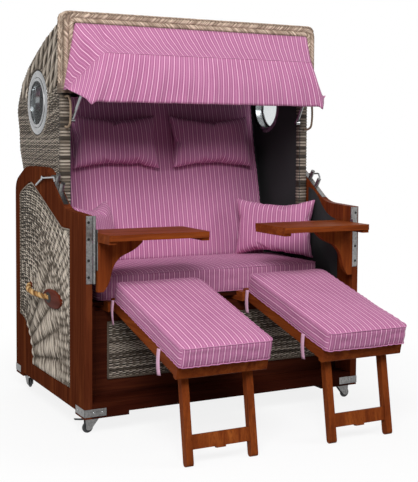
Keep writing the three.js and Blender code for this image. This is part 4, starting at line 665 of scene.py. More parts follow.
def plait(strands, centre, across, normal, half_width, pitch):
    """Slanting arms that meet on the centre line, each of a few thin strands side by side."""
    run = run_along(centre)

    def follow(places, values):
        return np.stack([np.interp(places, run, values[:, k]) for k in range(3)], axis=-1)

    t = np.linspace(0, 1, 9)
    arch = np.sin(math.pi * t) ** 0.7
    for i in range(int(run[-1] / pitch)):
        for way in (-1, 1):
            tone = chance.uniform(0.68, 0.92)
            for j in range(PLAIT_ARMS):
                start = (i + (0.5 if way > 0 else 0)) * pitch + j * pitch / PLAIT_ARMS
                places = np.clip(start + t * half_width * 1.15, 0, run[-1])
                w = way * (-0.14 + 1.08 * t) * half_width
                crown = 1 - ((j - (PLAIT_ARMS - 1) / 2) / (PLAIT_ARMS / 2)) ** 2
                h = PLAIT_LIFT * arch * (0.45 + 0.55 * crown) - 0.0045 * (1 - t) ** 3 - 0.0030 * t ** 4
                up = follow(places, normal)
                points = follow(places, centre) + follow(places, across) * w[:, None] + up * h[:, None]
                # The arm's own random tone with painted shade: darker where the arm tucks under at its ends
                # and on its outer strands.
                shade = (tone + chance.uniform(-0.38, 0.24)) * (0.10 + 0.90 * arch) * (0.58 + 0.42 * crown)
                strands.add(points, up, PLAIT_RADIUS, PLAIT_RADIUS * 0.9, np.clip(shade, 0, 1))


def rim_line(half, top, y, foot=RIM_FOOT + 0.004, rounding=0.024):
    """The rim's arch from its left foot over the top to its right foot, at one depth."""
    corners = [(-half, y, foot), (-half, y, top), (half, y, top), (half, y, foot)]
    return resampled(rounded(corners, rounding, 6), RIM_STEP)


def arch_outward(line):
    """Directions in the plane of the arch that point away from the hood's inside."""
    return np.cross(REARWARD, heading(line)) * -1.0


def rim_weave():
    strands = Strands()
    middle = rim_line(RIM_HALF - RIM_THICK / 2, RIM_TOP - RIM_HIGH / 2, HOOD_FRONT + 0.0052)
    plait(strands, middle, arch_outward(middle), np.broadcast_to(FORWARD, middle.shape), 0.0245, 0.0190)
    outer = rim_line(RIM_HALF - 0.0052, RIM_TOP - 0.0052, (HOOD_FRONT + RIM_REAR) / 2)
    plait(strands, outer, np.broadcast_to(REARWARD, outer.shape), arch_outward(outer), 0.037, 0.0215)
    for y, depth in ((RIM_REAR - 0.003, 0.0055), (HOOD_FRONT + 0.006, 0.0075)):
        edge = rim_line(RIM_HALF - depth, RIM_TOP - depth, y)
        strands.add_pair(edge, REARWARD, arch_outward(edge), RIM_STEP,
                         turn=0.03, swing=0.0022, lift=0.0022, radii=(0.0032, 0.0032), tones=(0.45, 0.30))
    inner, outer = RIM_HALF - RIM_THICK + 0.0015, RIM_HALF - 0.0015
    front, rear = HOOD_FRONT + 0.0015, RIM_REAR - 0.0015
    for side in SIDES.values():
        corners = [(side * outer, rear), (side * outer, front), (side * inner, front), (side * inner, rear)]
        ring = rounded([*corners, corners[0]], 0.008, 4)
        for turn in range(7):
            level = np.full(len(ring), RIM_FOOT + 0.003 + turn * 0.0058)
            strands.add(np.column_stack([ring, level]), UPWARD, 0.0028, 0.0031, chance.uniform(0.25, 0.55))
    return strands


def arch_core(inset):
    """The rim's solid arch, a little smaller than its plait."""
    outer = rim_line(RIM_HALF - inset, RIM_TOP - inset, 0)
    inner = rim_line(RIM_HALF - RIM_THICK + 0.001, RIM_TOP - RIM_HIGH + 0.001, 0, rounding=0.012)
    inner = resampled(inner, RIM_STEP)
    share = np.linspace(0, 1, len(outer))
    inner = np.stack([np.interp(share, np.linspace(0, 1, len(inner)), inner[:, k]) for k in range(3)], axis=1)
    front, rear = HOOD_FRONT + inset, RIM_REAR - 0.001
    points = [(point[0], y, point[2]) for out, within in zip(outer, inner)
              for point, y in ((out, front), (out, rear), (within, rear), (within, front))]
    faces = ring_faces(len(outer), 4, flip=True)
    return mesh_object("rim_core", moved(points), faces, gap_shade_core, smooth=False)


ride(rim_weave().build("rim_plait", beige_wicker), "hood", "wicker", "hood_rim")
ride(arch_core(0.0065), "hood", "wicker")


# Soft pieces
def grid_box(width, length, height, cell):
    """A block as a closed grid: points, quads, each corner's UV in metres, and the lower and upper edges."""
    sizes = (width, length, height)
    counts = [max(int(round(size / cell)), 2) for size in sizes]
    index, points, faces, corners = {}, [], [], []

    def corner(key):
        if key not in index:
            index[key] = len(points)
            points.append([sizes[a] * (key[a] / counts[a] - 0.5) for a in range(3)])
        return index[key]

    for axis in range(3):
        a, b = [k for k in range(3) if k != axis]
        cloth_ways = ((2, 1), (0, 2), (0, 1))[axis]
        for end in (0, counts[axis]):
            for u in range(counts[a]):
                for v in range(counts[b]):
                    quad = []
                    for du, dv in ((0, 0), (1, 0), (1, 1), (0, 1)):
                        key = [0, 0, 0]
                        key[axis], key[a], key[b] = end, u + du, v + dv
                        quad.append((corner(tuple(key)), key))
                    if (end == 0) != (axis == 1):
                        quad.reverse()
                    faces.append([number for number, _ in quad])
                    for _, key in quad:
                        corners.append([sizes[m] * key[m] / counts[m] for m in cloth_ways])
    nx, ny, nz = counts
    loops = [[index[key] for key in [
        *[(i, 0, k) for i in range(nx)], *[(nx, j, k) for j in range(ny)],
        *[(i, ny, k) for i in range(nx, 0, -1)], *[(0, j, k) for j in range(ny, 0, -1)],
    ]] for k in (0, nz)]
    return np.array(points), faces, np.array(corners), loops


def read(mesh, name="co"):
    """A vector of each vertex of a mesh, as rows."""
    found = np.zeros(len(mesh.vertices) * 3)
    mesh.vertices.foreach_get(name, found)
    return found.reshape(-1, 3)


def set_points(piece, points):
    piece.data.vertices.foreach_set("co", np.asarray(points, float).ravel())
    piece.data.update()


def inflate(piece, pressure, cap, frames=20, stiffness=12.0):
    """Blows a closed mesh up with the cloth simulation, and keeps each point within cap of its start."""
    rest = read(piece.data)
    cloth = piece.modifiers.new("cloth", "CLOTH")
    settings = cloth.settings
    settings.quality = 6
    settings.mass = 0.25
    settings.tension_stiffness = settings.compression_stiffness = stiffness
    settings.shear_stiffness = stiffness / 2
    settings.bending_stiffness = 0.35
    settings.use_pressure = True
    settings.uniform_pressure_force = pressure
    settings.effector_weights.gravity = 0
    cloth.collision_settings.use_collision = False
    cloth.collision_settings.use_self_collision = False
    cloth.point_cache.frame_start = 1
    cloth.point_cache.frame_end = frames
    scene = bpy.context.scene
    for number in range(1, frames + 1):
        scene.frame_set(number)
    blown = piece.evaluated_get(bpy.context.evaluated_depsgraph_get())
    shift = read(blown.to_mesh()) - rest
    blown.to_mesh_clear()
    piece.modifiers.remove(cloth)
    scene.frame_set(1)
    size = np.linalg.norm(shift, axis=1, keepdims=True)
    set_points(piece, rest + shift * np.minimum(1, cap / np.maximum(size, 1e-9)))


def crumple(points, scale, seed):
    """A smooth random height for each point, from sums of waves."""
    dice = np.random.default_rng(seed)
    total = np.zeros(len(points))
    for octave in range(3):
        for _ in range(5):
            direction = unit(dice.normal(size=3)) * scale * 2 ** octave * dice.uniform(0.7, 1.4)
            total += np.sin(points @ direction + dice.uniform(0, 6.28)) / (2 ** octave * 5)
    return total


CUSHION_CELL, CUSHION_INSET, CUSHION_ROUNDING = 0.012, 0.003, 0.008
CUSHION_PRESSURE, CUSHION_SWELL = 3.0, 0.005
CORNER_ROUNDING = 0.024
WELT_RADIUS = 0.0018
PUCKER_DEPTH, PUCKER_PITCH = 0.0012, 0.031
CREASE_DEPTH, CREASE_PITCH = 0.0034, 0.034


def box_cushion(name, width, length, height, crown, seed):
    """A boxed cushion with a crown, wrinkled sides and a welt along its upper and lower seams."""
    size = np.array([width, length, height])
    half = size / 2 - CUSHION_INSET
    points, faces, corners, loops = grid_box(*(2 * half), CUSHION_CELL)
    core = half - CUSHION_ROUNDING
    share = points / half
    inner = np.clip(points, -core, core)
    outward = points - inner
    points = np.where(np.linalg.norm(outward, axis=1, keepdims=True) > 0,
                      inner + unit(outward) * CUSHION_ROUNDING, points)
    held = np.clip(points[:, :2], CORNER_ROUNDING - half[:2], half[:2] - CORNER_ROUNDING)
    beyond = points[:, :2] - held
    points[:, :2] = held + unit(beyond) * np.abs(beyond).max(axis=1, keepdims=True)
    dome = (1 - np.abs(share[:, 0]) ** 4) * (1 - np.abs(share[:, 1]) ** 4)
    points[:, 2] += crown * dome * np.sign(share[:, 2]) * 0.5
    piece = mesh_object(name, points, faces, striped, uv=corners)
    rest = points.copy()
    inflate(piece, CUSHION_PRESSURE, CUSHION_SWELL)
    points = read(piece.data)
    off = np.abs(np.abs(rest) - half)
    near = np.exp(-((np.minimum(off[:, 0], off[:, 1]) + off[:, 2] - 0.006) / 0.026) ** 2)
    run = rest[:, 0] + rest[:, 1]
    pucker = PUCKER_DEPTH * near * np.sin(run * TURN / PUCKER_PITCH + 3 * np.sin(run * 17 + seed))
    broad = 0.0018 * crumple(rest, 26, seed)
    level = rest[:, 2] * TURN / CREASE_PITCH
    level += 1.9 * np.sin(run * 8 + seed) + 1.1 * np.sin(run * 21 + 2 * seed)
    on_side = np.clip(1 - np.abs(share[:, 2]) ** 6, 0, 1) * (np.maximum(*np.abs(share[:, :2]).T) > 0.98)
    crease = -CREASE_DEPTH * np.clip(np.sin(level), 0, 1) ** 3 * on_side
    points += read(piece.data, "normal") * (pucker + broad + crease)[:, None]
    points[:, :2] = np.clip(points[:, :2], -size[:2] / 2, size[:2] / 2)
    points[:, 2] = np.maximum(points[:, 2], -height / 2 + 0.0008)
    set_points(piece, points)
    return piece, [np.array([*points[loop], points[loop[0]]]) for loop in loops]


def put(piece, turn, shift):
    """Turns a piece by a matrix and moves it, given from the box's front plane."""
    piece.data.transform(Matrix.Translation(at(*shift)) @ turn.to_4x4())
    piece.data.update()
    fine = piece.modifiers.new("subdivision", "SUBSURF")
    fine.levels = fine.render_levels = 1


def lay_cushion(name, sizes, crown, seed, turn, middle, body, replaced):
    """A box cushion in its place, with its welts."""
    pad, welts = box_cushion(name, *sizes, crown, seed)
    put(pad, turn, middle)
    ride(pad, body, "striped_fabric", replaced)
    strands = Strands(8)
    for line in welts:
        placed = np.array([turn @ Vector(p) for p in line]) + np.array(middle)
        strands.add(placed, turn @ Vector((0, 0, 1)), WELT_RADIUS, WELT_RADIUS, 0.5)
    ride(strands.build(name.replace("pad", "welts"), welt_cloth), body, "striped_fabric")


# Seat cushion
SEAT_HALF, SEAT_FRONT, SEAT_REAR, SEAT_LOW, SEAT_HEIGHT = 0.508, 0.132, 0.552, 0.4722, 0.104
lay_cushion("seat_pad", (2 * SEAT_HALF, SEAT_REAR - SEAT_FRONT, SEAT_HEIGHT), 0.010, 3, Matrix.Identity(3),
            (0, (SEAT_FRONT + SEAT_REAR) / 2, SEAT_LOW + SEAT_HEIGHT / 2), "box", "seat_cushion")

# Back cushion and neck pillows lean on the back board
BACK_LEAN = math.radians(12.4)
BACK_FRONT, BACK_LOW, BACK_LENGTH, BACK_THICK, BACK_HALF = 0.5545, 0.562, 0.740, 0.071, 0.498
LEAN = Matrix.Rotation(-BACK_LEAN, 3, "X")
STAND = Matrix.Rotation(math.pi / 2, 3, "X")


def lean_place(x, forward, up):
    """A point of the leaning back: forward of the cushion's front face, and up its length."""
    offset = LEAN @ Vector((x, -forward, up))
    return (offset.x, BACK_FRONT + offset.y, BACK_LOW + offset.z)


lay_cushion("back_pad", (2 * BACK_HALF, BACK_LENGTH, BACK_THICK), 0.008, 5, LEAN @ STAND,
            lean_place(0, -BACK_THICK / 2, BACK_LENGTH / 2), "hood", "back_cushion")

PILLOW_CELL, PILLOW_EDGE = 0.0105, 0.010
PILLOW_PRESSURE, PILLOW_SWELL = 6.0, 0.030


def pillow(name, width, height, thick, seed, pinch):
    """A loose pillow with pointed corners, blown up from two flat sheets and flattened evenly to its
    thickness.
    """
    points, faces, corners, _ = grid_box(width, height, PILLOW_EDGE, PILLOW_CELL)
    u, v = points[:, 0] / (width / 2), points[:, 1] / (height / 2)
    swell = np.sqrt(np.clip(1 - u ** 2, 0, 1) * np.clip(1 - v ** 2, 0, 1))
    start = thick * 0.55
    points[:, 2] = np.sign(points[:, 2]) * (0.004 + start / 2 * swell)
    points[:, 0] *= 1 - pinch * (1 - v ** 2)
    points[:, 1] *= 1 - pinch * (1 - u ** 2)
    points[:, 2] += 0.0015 * crumple(points, 40, seed)
    piece = mesh_object(name, points, faces, striped, uv=corners)
    inflate(piece, PILLOW_PRESSURE, PILLOW_SWELL, frames=24, stiffness=9.0)
    points = read(piece.data)
    u, v = points[:, 0] / (width / 2), points[:, 1] / (height / 2)
    near = np.clip(np.maximum(np.abs(u), np.abs(v)), 0, 1) ** 3
    run = np.where(np.abs(u) > np.abs(v), points[:, 1], points[:, 0])
    pucker = 0.0020 * near * (1 - near ** 6) * np.sin(run * TURN / 0.033 + seed)
    points[:, 2] += np.sign(points[:, 2]) * pucker
    points[:, 2] += 0.0030 * crumple(points, 24, seed + 1)
    limit = thick / 2
    points[:, 2] = limit * np.tanh(points[:, 2] / limit * 1.02)
    set_points(piece, points)
    return piece


def lay_pillow(name, sizes, seed, pinch, turn, middle, body, replaced):
    pad = pillow(name, *sizes, seed, pinch)
    put(pad, turn, middle)
    ride(pad, body, "striped_fabric", replaced)


NECK_SIZES, NECK_X, NECK_FORWARD, NECK_UP = (0.420, 0.250, 0.088), 0.235, 0.0435, 0.524
for where, side in SIDES.items():
    lay_pillow(f"neck_pad_{where}", NECK_SIZES, 21 + side, 0.005, LEAN @ STAND,
               lean_place(side * NECK_X, NECK_FORWARD, NECK_UP), "hood", f"neck_pillow_{where}")

SCATTER_SIZES, SCATTER_LEAN, SCATTER_TURN = (0.385, 0.268, 0.110), math.radians(8), math.radians(48)
for where, side in SIDES.items():
    low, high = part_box(f"scatter_pillow_{where}")
    middle = (low + high) / 2
    turn = Matrix.Rotation(-side * SCATTER_TURN, 3, "Z") @ Matrix.Rotation(-SCATTER_LEAN, 3, "X") @ STAND
    lay_pillow(f"scatter_pad_{where}", SCATTER_SIZES, 31 + side, 0.030, turn,
               (middle.x, middle.y - FRONT, middle.z), "box", f"scatter_pillow_{where}")


def thick_sheet(name, rows, uv, thickness, material):
    """A closed sheet from a grid of points, thickened to the rear."""
    count, width = rows.shape[:2]
    normal = unit(np.cross(np.gradient(rows, axis=0), np.gradient(rows, axis=1)))
    points = np.concatenate([rows.reshape(-1, 3), (rows + normal * thickness).reshape(-1, 3)])
    ids = np.arange(count * width).reshape(count, width)
    top = np.stack([ids[:-1, :-1], ids[1:, :-1], ids[1:, 1:], ids[:-1, 1:]], axis=-1).reshape(-1, 4)
    ring = np.concatenate([ids[0, :-1], ids[:-1, -1], ids[-1, :0:-1], ids[:0:-1, 0]])
    beyond = np.roll(ring, -1)
    wall = np.stack([ring, beyond, beyond + count * width, ring + count * width], axis=-1)
    faces = np.concatenate([top, top[:, [0, 3, 2, 1]] + count * width, wall]).tolist()
    return mesh_object(name, moved(points), faces, material, uv=np.concatenate([uv.reshape(-1, 2)] * 2))


# Footrest cushions and their tie ribbons
REST_X, REST_Y, REST_Z, REST_TILT = 0.290, 0.088, 0.468, math.radians(14)
REST_WIDTH, REST_LENGTH, REST_THICK, REST_RAIL = 0.374, 0.612, 0.078, 0.037
RIBBON_WIDTH, RIBBON_LENGTH, RIBBON_THICK = 0.015, 0.092, 0.0009
RIBBON_PLACES = (-0.045, -0.470)
TILT = Matrix.Rotation(REST_TILT, 3, "X")


def rest_point(x, y, z):
    """A point of the inclined footrest, given level from its pivot."""
    offset = TILT @ Vector((x, y, z))
    return (x, REST_Y + offset.y, REST_Z + offset.z)


def ribbon(where, side, edge, along, seed):
    """A tie ribbon that hangs from a footrest cushion's side over the rail."""
    top = np.array(rest_point(side * REST_X, along, REST_RAIL / 2 + 0.018))
    top[0] += edge * (REST_WIDTH / 2 + 0.0068)
    steps = np.linspace(0, 1, 12)
    dice = np.random.default_rng(seed)
    sway, twist = dice.uniform(-0.006, 0.006), dice.uniform(-0.35, 0.25)
    rows = []
    for t in steps:
        middle = top + np.array([edge * 0.004 * math.sin(math.pi * t), sway * t, -RIBBON_LENGTH * t])
        turn = 0.42 + twist * t
        half = RIBBON_WIDTH / 2 * np.array([math.sin(turn) * edge, math.cos(turn), 0])
        rows.append([middle - half, middle, middle + half][::edge])
    uv = np.stack(np.meshgrid([0, 0.5, 1], steps), axis=-1)
    return thick_sheet(f"ribbon_{where}_{seed}", np.array(rows), uv, RIBBON_THICK, ribbon_cloth)


for where, side in SIDES.items():
    body = f"footrest_{where}"
    sizes = (REST_WIDTH - 0.002, REST_LENGTH, REST_THICK)
    middle = rest_point(side * REST_X, -0.002 - REST_LENGTH / 2, REST_RAIL / 2 + 0.0006 + REST_THICK / 2)
    lay_cushion(f"footrest_pad_{where}", sizes, 0.010, 41 + side, TILT, middle, body,
                f"footrest_cushion_{where}")
    for number, (edge, along) in enumerate((e, a) for e in (-1, 1) for a in RIBBON_PLACES):
        tie = ribbon(where, side, edge, along, 60 + number + 10 * (side > 0))
        ride(tie, body, "striped_fabric")


# Awning: roof panel, front valance and a folded gusset at each end
AWNING_ATTACH = (0.537, 0.2998, 1.547)
AWNING_CREASE = (0.470, 0.160, 1.425)
AWNING_HEM = (0.525, 0.150, 1.238)
AWNING_TIP = (0.592, 0.232, 1.289)
AWNING_RETURN = (0.584, 0.2998, 1.286)
AWNING_INNER = 0.875
AWNING_HALF, GUSSET_WIDTH = 0.500, 0.19
ROOF_LENGTH, VALANCE_LENGTH = 0.186, 0.19
ROOF_ROWS, VALANCE_ROWS = 14, 18
CLOTH_THICK, HEM_WIDTH, HEM_THICK, SEAM_RADIUS = 0.0018, 0.013, 0.0011, 0.0015


def awning_points():
    """Rows of points from the rim to the hem, each row's length down the cloth, and the columns' shares."""
    columns = np.linspace(-1, 1, 181)
    reach = np.abs(columns)
    share = np.clip((reach - AWNING_INNER) / (1 - AWNING_INNER), 0, 1)
    middle_tip = (np.array(AWNING_RETURN) + np.array(AWNING_TIP)) / 2
    tips = [AWNING_RETURN, (middle_tip[0], middle_tip[1], AWNING_RETURN[2]), AWNING_TIP]
    keys = []
    for corner, tip in zip(np.array([AWNING_ATTACH, AWNING_CREASE, AWNING_HEM]), np.array(tips)):
        flat = np.stack([columns / AWNING_INNER * corner[0], np.full_like(columns, corner[1]),
                         np.full_like(columns, corner[2])], axis=1)
        folded = corner * (1 - share[:, None]) + tip * share[:, None]
        folded[:, 0] *= np.sign(columns)
        keys.append(np.where((reach <= AWNING_INNER)[:, None], flat, folded))
    attach, crease, hem = keys
    rows, downs = [], []
    drip = np.exp(-((reach - AWNING_INNER) / 0.018) ** 2)
    for i in range(ROOF_ROWS):
        t = i / ROOF_ROWS
        bow = math.sin(math.pi * t)
        row = attach * (1 - t) + crease * t
        row[:, 2] -= 0.008 * bow * (1 - share)
        row[:, 2] += 0.0022 * np.sin(columns * 40 + 9 * t) * bow
        row[:, 2] -= 0.006 * np.exp(-((columns + 0.80 - 0.10 * (1 - t)) / 0.012) ** 2) * bow ** 0.5
        rows.append(row)
        downs.append(ROOF_LENGTH * t)
    for i in range(VALANCE_ROWS + 1):
        t = i / VALANCE_ROWS
        row = crease * (1 - t) + hem * t
        fold = 0.0035 * t * np.cos(9 * math.pi * columns) * (1 - share)
        fold += 0.0020 * np.sin(columns * 61 + 2.5 * t) * t
        fold += 0.0012 * np.sin(columns * 140) * math.exp(-t / 0.12)
        row[:, 1] -= fold + 0.010 * math.sin(math.pi * t) * (1 - share)
        scallop = 0.0015 * t * np.abs(np.sin(columns * math.pi * 3.5)) * (1 - share)
        row[:, 2] -= scallop + 0.012 * t ** 3 * drip
        rows.append(row)
        downs.append(ROOF_LENGTH + VALANCE_LENGTH * t)
    return np.array(rows), np.array(downs), columns


def make_awning():
    """The cloth, the doubled hem on its front, and the welts on its crease and along its hem."""
    rows, downs, columns = awning_points()
    reach = np.abs(columns)
    flat = np.where(reach <= AWNING_INNER, reach / AWNING_INNER * AWNING_HALF,
                    AWNING_HALF + (reach - AWNING_INNER) / (1 - AWNING_INNER) * GUSSET_WIDTH)
    uv = np.stack(np.broadcast_arrays(np.sign(columns) * flat + 0.6, downs[:, None]), axis=-1)
    pieces = [thick_sheet("awning_cloth", rows, uv, -CLOTH_THICK, striped)]
    down = unit(rows[-1] - rows[-3])
    outward = unit(np.cross(np.gradient(rows[-1], axis=0), down))
    top, low = rows[-1] - down * HEM_WIDTH, rows[-1] + down * 0.0006
    hem = np.stack([edge + outward * 0.0010 for edge in (top, (top + low) / 2, low)])
    pieces.append(thick_sheet("awning_hem", hem, uv[-3:], -HEM_THICK, striped))
    strands = Strands(6)
    crease = rows[ROOF_ROWS]
    strands.add(crease + np.array([0, -0.0008, 0.0008]), unit(crease - rows[ROOF_ROWS + 3]), SEAM_RADIUS,
                SEAM_RADIUS, 0.5)
    for level in (HEM_WIDTH, 0.0):
        strands.add(rows[-1] - down * level + outward * 0.0016, down, 0.0008, 0.0008, 0.5)
    pieces.append(strands.build("awning_welts", welt_cloth))
    return pieces


for piece in make_awning():
    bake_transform(piece)
    if piece.name == "awning_cloth":
        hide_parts("awning")


def laid(line, step, first, turn_length, offset, radius, tones):
    """Three strands laid round a line; first is a direction across it."""
    strands = Strands(8)
    second = unit(np.cross(heading(line), first))
    run = np.arange(len(line)) * step
    for k, tone in enumerate(tones):
        turn = (run * TURN / turn_length + k * TURN / 3)[:, None]
        path = line + offset * (np.cos(turn) * first + np.sin(turn) * second)
        strands.add(path, first, radius, radius, tone)
    return strands


# Rope loops on the posts
LOOP_REACH, LOOP_HEIGHT, LOOP_FOOT = 0.062, 0.122, 1.140
LOOP_SHARES = [(0, 1), (0.62, 1.02), (1, 0.84), (1.02, 0.42), (0.9, 0.1), (0.45, 0), (0, 0.03)]
LOOP_STEP, LOOP_DIAMETER = 0.0035, 0.010


def rope_loop(side):
    points = np.array([(side * 0.560, 0.3467 - out * LOOP_REACH, LOOP_FOOT + up * LOOP_HEIGHT)
                       for out, up in LOOP_SHARES])
    t = np.linspace(0, len(points) - 1, 49)
    line = np.stack([np.interp(t, np.arange(len(points)), points[:, k]) for k in range(3)], axis=1)
    for _ in range(6):
        line[1:-1] = (line[:-2] + 2 * line[1:-1] + line[2:]) / 4
    return resampled(line, LOOP_STEP)


for where, side in SIDES.items():
    line = rope_loop(side)
    loop = laid(line, LOOP_STEP, OUTWARD, 0.030, 0.0023, 0.0027, (0.5,) * 3)
    loop = ride(loop.build(f"rope_loop_cord_{where}", brown_rope), "hood", "rope", f"rope_loop_{where}")


# Small metal parts
def slab(name, low, high, material, bevel=0.0005):
    """A block between two corners, with softened edges."""
    xs, ys, zs = zip(np.minimum(low, high), np.maximum(low, high))
    points = [(x, y, z) for x in xs for y in ys for z in zs]
    faces = [(0, 1, 3, 2), (4, 6, 7, 5), (0, 4, 5, 1), (2, 3, 7, 6), (0, 2, 6, 4), (1, 5, 7, 3)]
    made = mesh_object(name, moved(points), faces, material, smooth=False)
    soft = made.modifiers.new("soft_edges", "BEVEL")
    soft.width = bevel
    soft.segments = 2
    return made


SCREW_PROFILE = [(1.0, 0.0), (0.96, 0.45), (0.75, 0.85), (0.45, 1.0), (0.22, 1.0), (0.20, 0.55)]
SCREW_SIDES = 16


def screws(name, places, axis, radius=0.0042, rise=0.0014, material=polished):
    """Round screw heads with a socket, each at a point and facing along an axis."""
    points, faces = [], []
    axis = np.array(axis, float)
    first = unit(np.cross(axis, (0.3, 0.5, 0.81)))
    angle = np.linspace(0, TURN, SCREW_SIDES, endpoint=False)[:, None]
    spokes = first * np.cos(angle) + np.cross(axis, first) * np.sin(angle)
    for place in places:
        faces += ring_faces(len(SCREW_PROFILE), SCREW_SIDES, len(points))
        for reach, height in SCREW_PROFILE:
            points += list(np.array(place) + spokes * radius * reach + axis * rise * height)
    return mesh_object(name, moved(points), faces, material)


LATHE_STEPS = 72


def lathed(name, profile, side, material):
    """Revolves a closed profile of (radius, x) about the porthole's axis."""
    circle = oval(0, 0, 1, 1, LATHE_STEPS)
    points = np.concatenate([at_x(side * x, np.array(PORTHOLE) + radius * circle) for radius, x in profile])
    faces = ring_faces(len(profile), LATHE_STEPS, flip=side < 0, closed=True)
    made = mesh_object(name, moved(points), faces, material)
    made.data.set_sharp_from_angle(angle=math.radians(38))
    return made


def oval(middle, level, half_length, half_height, steps=40):
    angle = np.linspace(0, TURN, steps, endpoint=False)
    return np.column_stack([middle + half_length * np.cos(angle), level + half_height * np.sin(angle)])


def domed(name, outline, base, heights, insets, side, material):
    """Stacked outlines in (y, z) about a middle, closed into one solid that faces outward along X."""
    middle = np.mean(outline, axis=0)
    away = outline - middle
    size = np.linalg.norm(away, axis=1, keepdims=True)
    points = np.concatenate([at_x(side * (base + height), middle + away * (1 - inset / size))
                             for height, inset in zip(heights, insets)])
    faces = ring_faces(len(heights), len(outline), flip=side < 0)
    made = mesh_object(name, moved(points), faces, material)
    made.data.set_sharp_from_angle(angle=math.radians(50))
    return made


# Portholes: profiles of (radius, x)
FLANGE_PROFILE = [
    (0.0952, 0.5375), (0.1175, 0.5375), (0.1175, 0.5725), (0.1345, 0.5725), (0.1350, 0.5745),
    (0.1335, 0.5785), (0.1300, 0.5803), (0.1150, 0.5812), (0.1090, 0.5808), (0.1068, 0.5798),
    (0.1052, 0.5770), (0.0960, 0.5765), (0.0952, 0.5750),
]
BEZEL_PROFILE = [(0.0905, 0.5760), (0.0938, 0.5745), (0.1035, 0.5775), (0.1042, 0.5800), (0.1015, 0.5832),
                 (0.0960, 0.5840), (0.0915, 0.5815)]
PANE_PROFILE = [(0.0005, 0.5772), (0.0912, 0.5772), (0.0912, 0.5800), (0.0005, 0.5806)]
HEADS_RADIUS, HEADS_FACE = 0.1235, 0.5806
for where, side in SIDES.items():
    ride(lathed(f"porthole_flange_{where}", FLANGE_PROFILE, side, polished), "hood", "polished_steel",
         f"porthole_ring_{where}")
    heads = [(side * HEADS_FACE, PORTHOLE[0] + HEADS_RADIUS * math.cos(turn),
              PORTHOLE[1] + HEADS_RADIUS * math.sin(turn))
             for turn in np.linspace(0, TURN, 6, endpoint=False) + 0.35]
    ride(screws(f"porthole_screws_{where}", heads, (side, 0, 0), 0.0036), "hood", "polished_steel")
    ride(lathed(f"pane_bezel_{where}", BEZEL_PROFILE, side, polished), f"pane_{where}", "polished_steel")
    ride(lathed(f"pane_glass_{where}", PANE_PROFILE, side, glass), f"pane_{where}", "pane_glass",
         f"porthole_pane_{where}")


# Carry handles: an oval plate, a near-black disc painted as the shade in its recess, and a bowed three-strand
# rope
HANDLE_LEVEL, HANDLE_FACE = 0.459, 0.6025
PLATE_OVAL = (0.3615, HANDLE_LEVEL, 0.1085, 0.038)
RECESS_OVAL = (0.402, HANDLE_LEVEL, 0.034, 0.022)
COLLAR_OVAL = (0.655, 0.4745, 0.020, 0.017, 28)
HANDLE_ENDS = ((0.6090, 0.402, 0.459), (0.6760, 0.534, 0.467), (0.6090, 0.664, 0.475))
GRIP_STEP, GRIP_RADIUS, GRIP_TURN = 0.004, 0.0112, 0.060
ROPE_TONES = (0.20, 0.55, 0.90)
for where, side in SIDES.items():
    plate = domed(f"handle_plate_{where}", oval(*PLATE_OVAL), HANDLE_FACE, (0, 0.009, 0.0115, 0.0122),
                  (0, 0, 0.0022, 0.007), side, wood_plate)
    ride(plate, "box", "wood", f"carry_handle_{where}")
    # A thin near-black disc on the plate: painted shadow standing in for the recess.
    recess = domed(f"handle_recess_{where}", oval(*RECESS_OVAL), HANDLE_FACE + 0.0118, (0, 0.0008, 0.0012),
                   (0, 0.0004, 0.002), side, recess_shadow_paint)
    ride(recess, "box", "wood")
    start, belly, end = (np.array([side * x, y, z]) for x, y, z in HANDLE_ENDS)
    t = np.linspace(0, 1, 41)[:, None]
    line = resampled((1 - t) ** 2 * start + 2 * t * (1 - t) * belly + t ** 2 * end, GRIP_STEP)
    grip = laid(line, GRIP_STEP, unit(np.cross(heading(line), UPWARD)), GRIP_TURN, GRIP_RADIUS * 0.57,
                GRIP_RADIUS * 0.47, ROPE_TONES)
    ride(grip.build(f"handle_rope_{where}", rope), "box", "rope")
    collar = domed(f"handle_collar_{where}", oval(*COLLAR_OVAL), HANDLE_FACE, (0, 0.006, 0.0085, 0.0092),
                   (0, 0, 0.002, 0.006), side, wood_plate)
    ride(collar, "box", "wood")


# Sheet metal on the box: corner brackets with screws, and screws of the table hinges
BRACKET_OUTER, SHEET, BOX_REAR = 0.6104, 0.0014, 0.8578
for where, side in SIDES.items():
    outer, edge = side * BRACKET_OUTER, side * (BRACKET_OUTER + SHEET)
    rear = BOX_REAR + SHEET
    for end, low, high in (
        ("front", (side * 0.524, -SHEET, 0.070), (edge, -0.0003, 0.099)),
        ("front_side", (outer, -SHEET, 0.070), (edge, 0.092, 0.099)),
        ("rear", (side * 0.530, BOX_REAR, 0.072), (edge, rear, 0.101)),
        ("rear_side", (outer, 0.790, 0.072), (edge, rear, 0.101)),
    ):
        ride(slab(f"bracket_{end}_{where}", low, high, zinc), "box", "zinc_steel")
    for end, places, axis, *shape in (
        ("bracket_screws_front", [(side * x, -SHEET, 0.0845) for x in (0.540, 0.574)], FORWARD),
        ("bracket_screws_side", [(edge, y, z) for y, z in (
            (0.034, 0.0845), (0.068, 0.0845), (0.812, 0.0865), (0.838, 0.0865))], side * OUTWARD),
        ("bracket_screws_rear", [(side * x, rear, 0.0865) for x in (0.548, 0.582)], REARWARD),
        ("hinge_screws", [(side * 0.5945, -0.0024, z) for z in (0.590, 0.652, 0.730, 0.792)], FORWARD,
         0.0054, 0.0014, dark_steel),
    ):
        ride(screws(f"{end}_{where}", places, axis, *shape), "box", "polished_steel")


